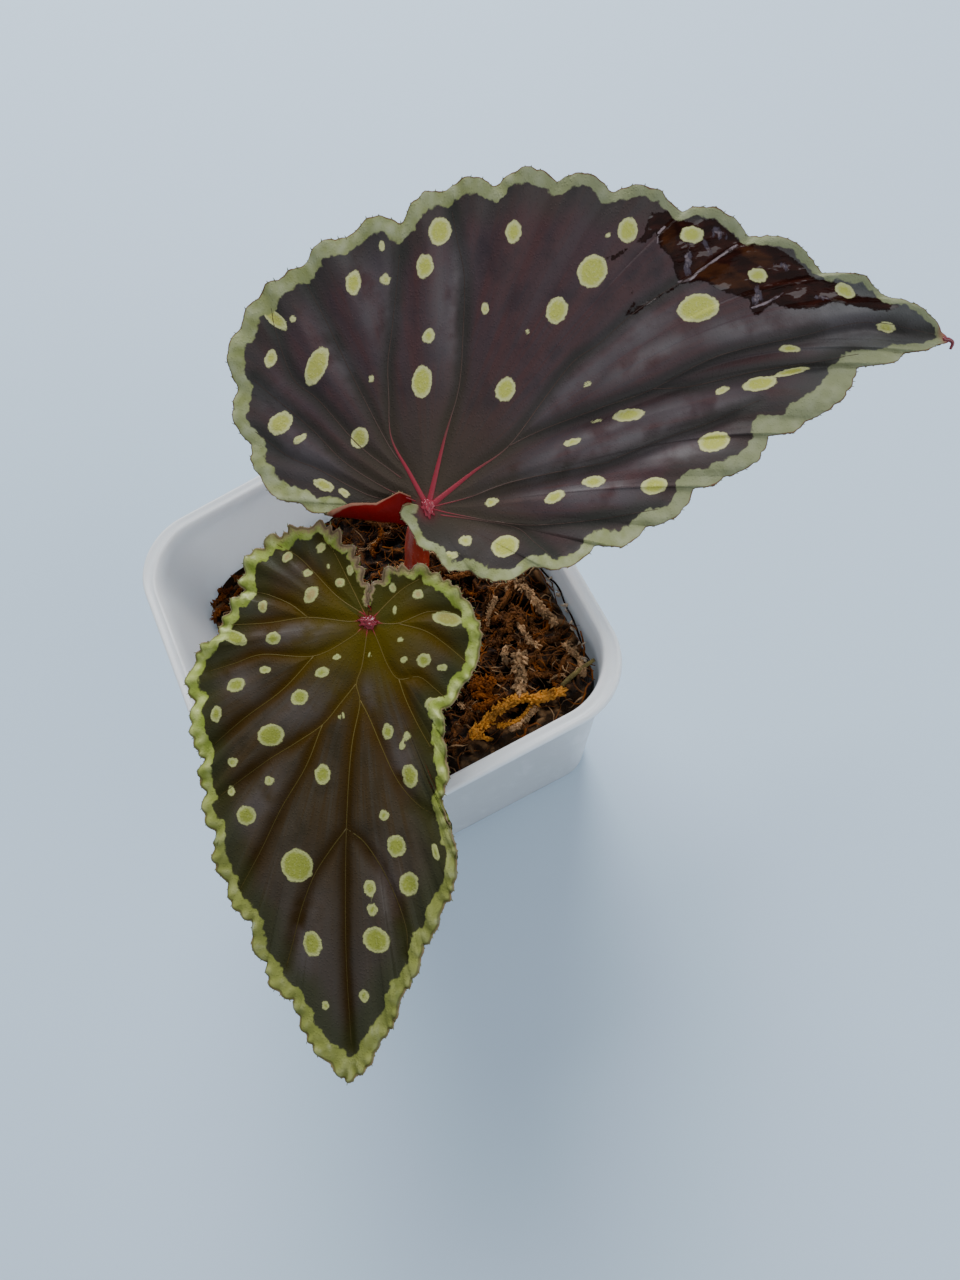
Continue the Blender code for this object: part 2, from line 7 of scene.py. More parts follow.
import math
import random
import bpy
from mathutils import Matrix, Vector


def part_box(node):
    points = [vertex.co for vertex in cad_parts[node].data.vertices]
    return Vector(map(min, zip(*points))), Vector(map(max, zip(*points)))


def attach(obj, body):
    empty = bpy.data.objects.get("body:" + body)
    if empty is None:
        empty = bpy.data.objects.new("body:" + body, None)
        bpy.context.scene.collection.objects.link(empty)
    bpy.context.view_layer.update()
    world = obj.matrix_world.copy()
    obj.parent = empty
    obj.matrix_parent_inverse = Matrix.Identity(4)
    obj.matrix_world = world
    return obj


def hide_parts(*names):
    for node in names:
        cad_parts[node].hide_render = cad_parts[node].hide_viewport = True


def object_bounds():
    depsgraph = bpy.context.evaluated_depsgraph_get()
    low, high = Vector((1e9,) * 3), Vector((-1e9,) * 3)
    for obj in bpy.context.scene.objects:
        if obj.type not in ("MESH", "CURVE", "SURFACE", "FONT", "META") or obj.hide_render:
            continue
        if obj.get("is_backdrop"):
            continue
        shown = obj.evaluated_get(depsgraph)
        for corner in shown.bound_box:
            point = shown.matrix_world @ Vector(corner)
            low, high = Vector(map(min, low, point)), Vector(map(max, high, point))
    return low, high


bl_info = {
    "name": "Potted begonia",
    "version": (1, 0, 0),
    "blender": (4, 5, 0),
    "location": "3D View > Sidebar > Begonia",
    "description": "Leaves, stalks, moss, pot and stage of a young spotted begonia",
    "category": "Add Mesh",
}

from dataclasses import dataclass, field

import bpy
import numpy as np
from bpy.props import FloatProperty, FloatVectorProperty, IntProperty, PointerProperty
from mathutils import Matrix, Vector, noise

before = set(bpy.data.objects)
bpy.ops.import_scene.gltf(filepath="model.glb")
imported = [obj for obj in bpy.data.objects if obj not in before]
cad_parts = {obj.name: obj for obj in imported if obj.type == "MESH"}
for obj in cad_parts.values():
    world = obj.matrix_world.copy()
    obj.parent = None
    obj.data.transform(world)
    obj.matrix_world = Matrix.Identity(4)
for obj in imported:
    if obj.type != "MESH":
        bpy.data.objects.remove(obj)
CAD_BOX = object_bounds()
BODY = "root"
MM = 0.001

# How near, in metres, points have to lie to merge
MERGE = 0.000001
BLADE_MERGE = 0.0000001

# Off every plane of symmetry, so that no two faces are equally far from it
ASIDE = (0.0123, 0.0371, 0.0517)

# Pot, in mm: its outer size is the frame's, its walls and its lip are the CAD's
POT_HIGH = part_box("pot")[1]
POT_HEIGHT = POT_HIGH[2] / MM
LIP_HALF = POT_HIGH[0] / MM
LIP_WIDTH = 2.4
LIP_DEPTH = 1.9
LIP_CORNER = 12.7
BASE_HALF = 23.5
BASE_CORNER = 8.0
WALL = 1.0
FLOOR_THICKNESS = 1.4
DRAIN_RADIUS = 2.5
DRAIN_FROM_CENTRE = 12.0
CORNER_SEGMENTS = 18
BASE_ROUND = 0.8
OUTER_LEVELS = (3.0, 14.0, 26.0, 38.0, 50.0, 62.0, 72.0, 76.4)
INNER_LEVELS = (76.8, 72.0, 62.0, 50.0, 38.0, 26.0, 14.0, 4.0, 2.2)

# The lip's section: up from its underside or down from its top, then in from its outer edge, and
# last down from its top, then out from its inner edge
LIP_UNDER = [(-0.25, 1.15), (0.0, 0.75), (0.02, 0.35), (0.12, 0.1), (0.4, 0.0)]
LIP_OVER = [(0.55, 0.0), (0.25, 0.08), (0.06, 0.22), (0.0, 0.42), (0.05, 0.62), (0.3, 0.85)]
LIP_INSIDE = [(0.34, 0.85), (0.1, 0.6), (0.04, 0.45), (0.1, 0.25), (0.35, 0.08)]

# Moss: its top rises to +X and -Y. Each relief on it has a rise, a size and a layer of the noise
GAP = 0.3
MOSS_TOP = 67.5
MOSS_RISE = (0.09, -0.07)
MOSS_LUMP = (2.4, 9.0, 3.1)
MOSS_GRAIN = (1.2, 4.0, 8.7)
MOSS_RIDGE = (1.5, 3.6, 6.1)
MOSS_CRUMB = (0.7, 1.3, 5.3)
MOSS_SIDE_BELOW = 5.0
MOSS_FOOT_INSET = 0.9
MOSS_EDGE_BELOW = 4.0
MOSS_EDGE_INSET = 0.2
MOSS_EDGE_DROP = 2.4
MOSS_COLUMNS = 340
MOSS_SIDE_ROWS = 14
MOSS_TOP_ROWS = 86

# Dead strands on the moss: the points on plan, and the thickness, of each
GOLDEN_STRANDS = [
    ([(6, -26.3), (9.1, -25.2), (11.9, -24.8), (14.7, -24.3), (16.8, -24.7), (18.9, -26),
      (21.3, -26.3), (23.5, -26.8)], 1.3),
    ([(10.4, -26.2), (12.7, -27.2), (14.8, -27.4), (16.6, -26.9), (17.9, -26)], 0.8),
    ([(6, -26.3), (7.4, -27), (8.9, -27.6)], 0.8)]
RUSTY_STRANDS = [
    ([(9.4, -17.8), (11.5, -18.4), (13.7, -19.2), (11.6, -20.6)], 1.2),
    ([(8.5, -21.5), (10.5, -22.5), (12.5, -22)], 1),
    ([(9, -19.5), (10.5, -20), (12, -21.5), (13.5, -22.8)], 0.9),
    ([(-29.8, 21.6), (-28, 22.6), (-26, 22.4)], 0.9),
    ([(-29.4, 25.2), (-27.4, 25.6), (-25.8, 26.8)], 0.8),
    ([(-27.4, 28.2), (-25.6, 27), (-24, 27.2)], 0.8),
    ([(-23.6, 29.8), (-22.4, 28.2), (-22.8, 26.2)], 0.8),
    ([(-29.8, 17.4), (-28, 18.6), (-26.2, 18.2)], 0.9)]
TAN_STRANDS = [
    ([(19.9, -16.4), (18.8, -19.4), (17.8, -21.9), (17, -24.2)], 1.6),
    ([(18.6, -13.4), (17.5, -15.3), (17.1, -17.2)], 1),
    ([(12.3, -28), (14.6, -28.2), (16.8, -27.6), (18.6, -26.9)], 0.8),
    ([(16.8, -8.4), (19.2, -6.6), (21.1, -5.2)], 0.8),
    ([(22.2, -11.5), (22.4, -15.1), (23.5, -17.7)], 0.9),
    ([(24.8, -3.9), (25.9, -6.3), (26.4, -8.9), (27, -11.9), (28, -15)], 1.2),
    ([(27.5, -18.9), (28, -21.1), (28.2, -23.7), (27.6, -26)], 0.9)]
STRAND_LIFT = 0.75
SCALES_PER_STEP = 5

# Litter by the wall, on plan, the twig with its height over the moss, and the loose fibres
WALL_CRUMBS = [(30.7, -7.1), (30.9, -10.2), (30.8, -13.4), (30.4, -17), (30.2, -20.5), (29.4, -23.6)]
CRUMB_SEED = 31
CRUMB_HALF = 0.45
WALL_ROOT = [(29.8, -4.2), (31.2, -9.1), (30.9, -12.6), (30.6, -17.1), (29.9, -20.9)]
WALL_ROOT_RADIUS = 0.17
TWIG = [(23.6, -25.8, 0.3), (26, -25.3, 1), (28.4, -25.1, 1.6), (30.3, -25.2, 2.4)]
TWIG_RADII = (0.5, 0.32)
FIBRE_SUNK = 0.35
FIBRE_PROFILE = (0.7, 1.0, 0.9, 1.0, 0.75, 0.3)

# Rhizome, ringed by scars between grooves, and the stalks that rise from it to the blades
RHIZOME_CENTRE = (2.6, -0.5, 67.2)
RHIZOME_HALF_LENGTH = 8.0
RHIZOME_RADIUS = 3.3
RHIZOME_SCARS = 5
RHIZOME_SCAR = 0.25
RHIZOME_GROOVE = 0.3
RHIZOME_KNOB = 0.35
RHIZOME_BARK = 0.16
RHIZOME_BLUNTNESS = 2.6
STALK_STEP = 0.6
STALK_FOOT = 0.5
STALK_FLARE = 0.45
STALK_UNEVEN = 0.07
LARGE_STALK = [(5.2, -0.2, 68.0), (6.6, 0.5, 71.0), (8.8, 1.5, 75.0), (11.8, 2.9, 81.0),
               (13.3, 3.6, 85.0), (14.9, 3.9, 88.5), (16.6, 3.7, 92.0), (17.7, 2.9, 94.8)]
SMALL_STALK = [(-0.4, -0.9, 68.0), (0.0, -1.6, 72.0), (0.7, -3.2, 78.0), (1.1, -5.3, 84.5),
               (1.5, -7.8, 89.5)]

# Blades: the rows of points, in mm in from the margin and then closer towards the stalk
BLADE_THICKNESS = 0.45
OUTER_ROWS = (0.0, 0.1, 0.25, 0.45, 0.7, 1.0, 1.35, 1.75, 2.2, 2.75, 3.4, 4.2)
ROWS_CLOSER = 1.2
FULL_REACH = 14.0

# The margin: how its columns turn, how far apart its nearest places may be, how it wanders
LEAST_TURN = 0.0012
CORE_SPREAD = math.radians(20)
NEARBY = 5.0
MARGIN_WANDER = 0.22
FRILLY_MORE = 1.9
MARGIN_FROM_HUB = (2.5, 8.0)

# The rolled lobe: where it folds, as a share of the way out, and how it arches back
RIM_ROW = 0.78
FOLD_DROP = 1.0
ROLL_ARCH = 0.62 * math.pi
ROLL_SAG = 0.5
ROLL_LENGTH = 1.35

# The relief: rounding of the midrib's fold, swelling between veins, crimps and creases
FOLD_ROUNDING = 6.0
SETTLED = 8.0
QUILT = 0.45
CRIMP_REACH = 1.7
CREASE_SIDE = 1.5
CREASE_BEGINS = 14.0
CREASE_ENDS = 6.0

# Veins: found on the blade by a ray from outside it, with what lies over the blade passed by. A
# sunk share of 1 is a whole radius. Then the knot where they meet and the teeth of the margin
PATH_STEP = 0.5
VEIN_STEP = 0.8
VEIN_CAST_FROM = 12.0
VEIN_CAST_FAR = 30.0
VEIN_SUNK = 0.55
UNDER_VEIN = 0.4
UNDER_VEIN_SUNK = -0.8
OVER_BLADE = (1.0, 2.0)
RED_VEINS = ("red_left", "red_middle", "red_right")
RED_VEIN_MORE = 0.5
RED_VEIN_SHORTER = 7.0
KNOB_RIBS = 11
TOOTH_GAPS = (0.6, 1.6)
TOOTH_LENGTH = (0.1, 0.32)
TOOTH_RADII = (0.1, 0.07, 0.02)

# Floor, sky and lights, in metres
FLOOR_SIZE = 6.0
FLOOR_BELOW = 0.0002
SKY_TINT = (0.86, 0.93, 1.0, 1.0)
KEY_PLACE = (0.22, 0.62, 0.68)
FILL_PLACE = (0.5, -0.55, 0.5)
LIGHT_SIZE = 0.7
LIGHT_AIM = (0.0, 0.0, 0.08)

# Camera: above the pot's near corner, looking down
CAMERA_PLACE = (0.01999, -0.07403, 0.22604)
CAMERA_RIGHT = (0.88246, -0.42514, -0.20131)
CAMERA_UP = (0.46941, 0.82351, 0.31855)
CAMERA_LENS = 27.0
CAMERA_FILM = 36.0


@dataclass
class Leaf:
    """A leaf in mm. Along runs from stalk to tip, across to the left of it, up out of its face.

    sweep: how far the midrib bows, once and twice. droop: how far the tip sinks, over what length.
    scallop: its share of a chord, and the most. crimp: height, length and sideways reach of the
    small lobes. pleat: depth and width of a vein's groove. bead: size and height of the margin's
    lumps. spots, gloss, crusts and ambers: u, v, long and short radius, turn in degrees.
    frilly, cores: places along the notches, where a frill ends and starts and the back lobes bow.
    The glossy patches are also painted with a greyish painted sheen. On the wet film the lilac-grey
    patches are painted reflections and the pale lines painted highlights.
    """
    junction: tuple
    slope: tuple
    heading: float
    length: float
    sweep: tuple
    fold: float
    dome: float
    droop: tuple
    scallop: tuple
    ruffle: float
    crimp: tuple
    pleat: tuple
    spacing: float
    rows: int
    notches: list
    bands: list
    veins: dict
    spots: list
    creases: dict = field(default_factory=dict)
    rolled_edge: list = field(default_factory=list)
    lobe_end: list = field(default_factory=list)
    gloss: list = field(default_factory=list)
    frilly: tuple = (-2.0, -1.0, 98.0, 99.0)
    film: list = field(default_factory=list)
    painted_highlight_lines: list = field(default_factory=list)
    painted_reflections: list = field(default_factory=list)
    ambers: list = field(default_factory=list)
    hook: list = field(default_factory=list)
    cores: tuple = ()
    teeth: float = 1.0
    bead: tuple = (1.4, 0.1)
    rope: float = 0.1
    vein_size: float = 0.13
    knob: float = 1.2
    glow_reach: float = 17.0
    red_reach: float = 1.0

    def __post_init__(self):
        up = np.array((-self.slope[0], -self.slope[1], 1.0))
        self.up = up / np.linalg.norm(up)
        turn = math.radians(self.heading)
        along = np.array((math.cos(turn), math.sin(turn), 0.0))
        along[2] = self.slope[0] * along[0] + self.slope[1] * along[1]
        self.along = along / np.linalg.norm(along)
        self.across = np.cross(self.up, self.along)

    def bow(self, u):
        """How far the midrib bows sideways, u mm along."""
        w = np.clip(u / self.length, 0.0, 1.0)
        return self.sweep[0] * np.sin(math.pi * w) + self.sweep[1] * np.sin(2 * math.pi * w)

    def place(self, u, v, h):
        """World places, in metres, of points of the straightened blade."""
        side = v + self.bow(u)
        return (np.array(self.junction) + u[..., None] * self.along + side[..., None] * self.across
                + h[..., None] * self.up) * MM

    def relief(self, u, v):
        """The blade's broad form: folded or domed across, drooping to the tip."""
        full = v + self.bow(u)
        share, over = self.droop
        return (self.fold * (np.hypot(full, FOLD_ROUNDING) - FOLD_ROUNDING) - self.dome * v * v
                - share * (np.maximum(0.0, u) / over) ** 2)


def soften(values, width):
    """A running mean along a row of values, with its ends held."""
    pad = width // 2
    kernel = np.ones(width) / width
    held = np.concatenate([np.repeat(values[:1], pad), values, np.repeat(values[-1:], pad)])
    return np.convolve(held, kernel, mode="valid")


def run_along(points):
    """How far along a row of points each one is."""
    return np.concatenate([[0.0], np.cumsum(np.hypot(*np.diff(points, axis=0).T))])


def lump(x, y, z=0.0):
    """Noise at a place, from -1 to 1."""
    return noise.noise(Vector((x, y, z)))


def smooth_step(value, low, high):
    """0 below low, 1 above high, smooth between."""
    t = np.clip((value - low) / (high - low), 0.0, 1.0)
    return t * t * (3 - 2 * t)


def distance_to_line(points, line):
    """Distance from each point to a run of straight pieces."""
    line = np.array(line, float)
    best = np.full(len(points), 1e9)
    for a, b in zip(line[:-1], line[1:]):
        run = b - a
        t = np.clip((points - a) @ run / max(run @ run, 1e-12), 0.0, 1.0)
        best = np.minimum(best, np.hypot(*(points - a - t[:, None] * run).T))
    return best


def smooth_path(points, step):
    """Points about a step apart on a smooth curve through the given ones."""
    p = [np.array(q, float) for q in points]
    p = [2 * p[0] - p[1]] + p + [2 * p[-1] - p[-2]]
    path = []
    for a, b, c, d in zip(p, p[1:], p[2:], p[3:]):
        pieces = max(1, round(float(np.linalg.norm(c - b)) / step))
        for k in range(pieces):
            t = k / pieces
            path.append(0.5 * (2 * b + (c - a) * t + (2 * a - 5 * b + 4 * c - d) * t * t
                               + (3 * b - a - 3 * c + d) * t ** 3))
    return np.array(path + [p[-2]])


# Large leaf: where the margin's scallops meet, round from the rolled lobe. The first five follow
# the fold of that lobe
LARGE_LEAF = Leaf(
    junction=(18.0, 1.2, 98.0), slope=(0.05, 0.55), heading=-10.3, length=86.0, sweep=(8.7, -0.9),
    fold=0.16, dome=0.0, droop=(10.0, 90.0), scallop=(0.2, 1.9), ruffle=1.4, crimp=(0.12, 3.1, 0.1),
    pleat=(0.36, 0.9), bead=(1.5, 0.12), rope=0.12, spacing=0.46, rows=74, glow_reach=24.0,
    red_reach=1.5,
    notches=[
        (-4.6, -2.0), (-7.0, -0.6), (-10.0, 0.9), (-12.7, 2.5), (-14.6, 3.9),
        (-18.0, 6.4), (-22.5, 12.5), (-22.0, 16.5), (-21.0, 25.0), (-17.0, 33.0), (-13.5, 35.5),
        (-9.5, 37.0), (-6.0, 37.5), (1.5, 39.0), (9.0, 36.5), (16.5, 37.0), (23.0, 34.0),
        (32.0, 30.5), (39.0, 26.0), (48.0, 20.5), (57.5, 15.0), (67.5, 9.0), (76.5, 6.0),
        (86.0, 0.0), (84.0, -0.3), (79.0, -1.5), (70.5, -4.0), (59.5, -13.0), (53.5, -13.5),
        (44.5, -18.0), (40.0, -17.5), (31.0, -20.0), (23.0, -18.5), (13.0, -16.5), (3.0, -11.5),
        (-0.8, -6.8), (-3.4, -3.2)],
    bands=[0.7, 0.7, 0.8, 1, 2, 2.4, 2.3, 2, 2, 2.3, 2.6, 2.2, 2, 1.9, 2.2, 2, 1.8,
           1.7, 1.7, 1.4, 1.6, 1.3, 1.2, 1, 1.5, 2.6, 3.4, 3.4, 2.4, 3, 2.3, 2.4, 1.8, 1.6,
           1.4, 1.3, 1.4, 1.5, 1.5, 1.5, 1.5, 1.4],
    hook=[(85, 0.3, -0.1), (86.1, 0.1, 0.1), (86.4, -0.5, 0.1), (85.9, -1.3, -0.2)],
    rolled_edge=[(-2.2, 2.5, 0.6, 0.78), (-3.4, 3.6, 1.7, 0.78), (-7.1, 2.8, 2.2, 0.8),
                 (-10.6, 4, 1.6, 0.87), (-14.4, 4.1, 0.2, 1)],
    lobe_end=[(-3.7, -1.6, 0.5), (-4.3, -0.4, 1), (-4.2, 0.6, 1.5), (-3.3, 1.4, 1.8),
              (-2.2, 1.4, 1.4)],
    veins={
        "left_lobe_low": [(-2.5, 1.5), (-8, 4.5), (-14, 10.5), (-17.5, 13.5), (-21, 18.5)],
        "left_lobe": [(-1.5, 1.5), (-5.5, 5), (-10, 10.5), (-13, 16.5), (-17, 23), (-18.5, 25.5)],
        "left_high": [(-2.5, 5.5), (-7, 12), (-10.5, 20), (-13, 24), (-13, 31), (-12.5, 34)],
        "left_fork": [(-2, 8), (-3, 12), (-4.5, 21.5), (-5.5, 29.5), (-6.5, 35.5)],
        "red_left": [(0, 0), (-1, 5.5), (-2, 11.5), (-0.5, 17), (1, 21.5), (3, 25), (5.5, 29.5),
                     (7.5, 33.5)],
        "red_middle": [(0, 0), (5.5, 7.5), (10, 13), (13, 19.5), (15.5, 26), (16, 30.5), (16.5, 34.5)],
        "red_right": [(0, 0), (8, 1), (14.5, 1.5), (22, 5), (27.5, 7.5), (32, 8), (37, 9.5),
                      (41.5, 10.5), (50, 12)],
        "midrib": [(14.5, 1.5), (20, 1), (29.5, -0.5), (38, -1.5), (48, -0.5), (61.5, 0),
                   (73.5, 2), (84, 1)],
        "low_first": [(38, -1.5), (45, -3.5), (54.5, -4), (63.5, -4), (71, -3)],
        "low_second": [(0, 0), (6.5, -2), (13.5, -3.5), (27, -8), (30, -8.5), (44.5, -9.5),
                       (53.5, -8.5)],
        "low_third": [(0, 0), (3.5, -3), (10, -8), (15.5, -11.5), (24.5, -15.5), (33.5, -18.5)],
        "low_last": [(1.5, -2), (7, -6), (12, -10), (14, -13.5), (16, -17)]},
    creases={"midrib": 1.5, "low_first": 1, "low_second": 1.1, "low_third": 0.6},
    spots=[
        (14, 33, 1.7, 1.7, 140), (24, 27.5, 1.4, 1.2, 70), (33.5, 17.5, 2.3, 2.1, 155),
        (27, 15, 1.7, 1.7, 155), (10.5, 30, 1.5, 1.3, 70), (0, 33.5, 1.6, 1.1, 60),
        (4.5, 31.5, 0.8, 0.7, 150), (5.5, 35.5, 0.7, 0.5, 70), (17, 20.5, 0.8, 0.6, 70),
        (8, 21.5, 1, 0.9, 150), (5, 16.5, 2.1, 1.6, 70), (16.5, 9, 1.6, 1.6, 150),
        (-9, 24.5, 2.9, 1.4, 45), (-15, 27.5, 1.3, 0.8, 50), (-10, 31.5, 0.5, 0.5, 70),
        (-17, 18.5, 2, 1.4, 25), (-15, 15.5, 1.1, 0.5, 20), (-6.5, 13, 1.6, 1.3, 45),
        (-2, 20.5, 0.5, 0.4, 70), (-14, 8, 1.6, 0.8, 140), (-11.5, 6, 0.9, 0.5, 130),
        (9.5, -4.5, 1.1, 0.6, 165), (19, -9, 1.7, 0.8, 170), (4, -7.5, 1.1, 0.7, 150),
        (9.5, -11.5, 2.3, 1.5, 155), (24, -3, 1.4, 0.5, 165), (28.5, -2, 0.8, 0.3, 160),
        (28.5, 3.5, 0.6, 0.5, 155), (22, 14.5, 0.4, 0.3, 150), (40, 20.5, 1.6, 1.5, 75),
        (49, 17, 1.8, 1.1, 165), (47.5, 7, 3.2, 2, 170), (57.5, 9.5, 1.5, 1, 170),
        (70.5, 6.5, 1.6, 1, 160), (76.5, 1.5, 1.5, 0.7, 170), (60.5, -1.5, 1.7, 0.6, 170),
        (60, -5, 2.9, 0.5, 5), (54.5, -6, 2.7, 1.1, 0), (48.5, -5.5, 1.2, 0.5, 5),
        (33.5, -3.5, 2.5, 0.9, 160), (45, -12.5, 2.5, 1.5, 175), (25.5, -10, 1.8, 0.8, 155),
        (34, -15, 2.1, 1.2, 160), (-12.5, 32.5, 2.2, 0.9, 120), (-16.5, 5.8, 2.4, 1, 130),
        (37, 21, 0.4, 0.3, 0), (1.2, -8.2, 1.4, 0.5, 150)],
    # Glossy patches: the coat and a painted sheen are laid on them
    gloss=[
        (-15.6, 14, 7, 3.5, 135), (-17, 22, 6, 2.5, 120), (1.9, 31.6, 7, 3, 95),
        (12.5, 24.3, 8, 3, 65), (38.3, 7.4, 9, 2.6, 15), (27, 4.5, 9, 2, 12),
        (25, -3.6, 12, 1.6, 174), (44, -6.5, 12, 1.6, 174), (28.4, -13.5, 8, 1.8, 155),
        (69, 2.4, 12, 2.6, 178), (55, 2.2, 9, 1.8, 175), (3, -9.5, 5, 2.5, 150),
        (-6.4, 26.1, 7, 2.2, 105), (31, -6.4, 9, 1.7, 172),
        (41, -12.4, 7, 2, 160), (20.5, -5.4, 6, 1.3, 162), (24, -11.6, 7, 1.6, 150),
        (38, 3, 8, 1.6, 5)],
    film=[
        [(41.1, 18.7), (43, 20.1), (43.8, 21.6), (46.2, 21.2), (48.4, 19), (52.8, 18.2),
         (56, 15), (61.2, 12.7), (65, 10.1), (65.5, 8.4), (68.8, 7.8), (72.2, 5.9),
         (76, 5.6), (78.7, 4.4), (76.2, 3.6), (71.8, 4), (68.2, 4.8), (65, 3.8),
         (61, 4.1), (59, 5.4), (55.6, 3.5), (55.4, 6.2), (52.6, 7.9), (51.3, 8.5),
         (49.2, 10.6), (45.8, 11.1), (45.3, 14.7), (44.1, 16.7), (44.1, 19), (42.1, 18.1)],
        [(38.5, 14.5), (38.4, 12.4), (39, 10.6), (37.1, 10.1), (41.2, 10.5), (46.5, 11.2),
         (41.2, 10.1), (38.2, 9.6), (36.6, 10), (38.4, 10.9)],
        [(33.5, 18.6), (37.2, 18.1), (41.2, 18.5), (37.2, 17.7)]],
    # Painted highlight lines on the wet film, where its edges catch the light
    painted_highlight_lines=[
        [(45.6, 11.5), (47.6, 11.2), (49, 12), (51.5, 12.8), (53.4, 13.5), (55.6, 14.3)],
        [(55.5, 5), (58.2, 5.5), (59.8, 6.1), (60.6, 6.6)],
        [(43.8, 17.3), (44.4, 18.7), (45.6, 19.3)]],
    # Painted reflections on the wet film: lilac-grey patches where it mirrors the light
    painted_reflections=[
        (47.7, 13.7, 2, 0.6, 76), (53, 16.3, 1, 0.5, 150), (56.7, 6.6, 1.6, 0.7, 76),
        (61.6, 10.3, 1.2, 0.4, 170), (51, 14.8, 1, 0.4, 120), (66.5, 5.6, 1.4, 0.3, 170)],
    ambers=[(45.5, 17.5, 2.1, 1.1, 76), (52.3, 10.4, 4.4, 1.5, 148), (58, 12, 2.6, 0.9, 150)])

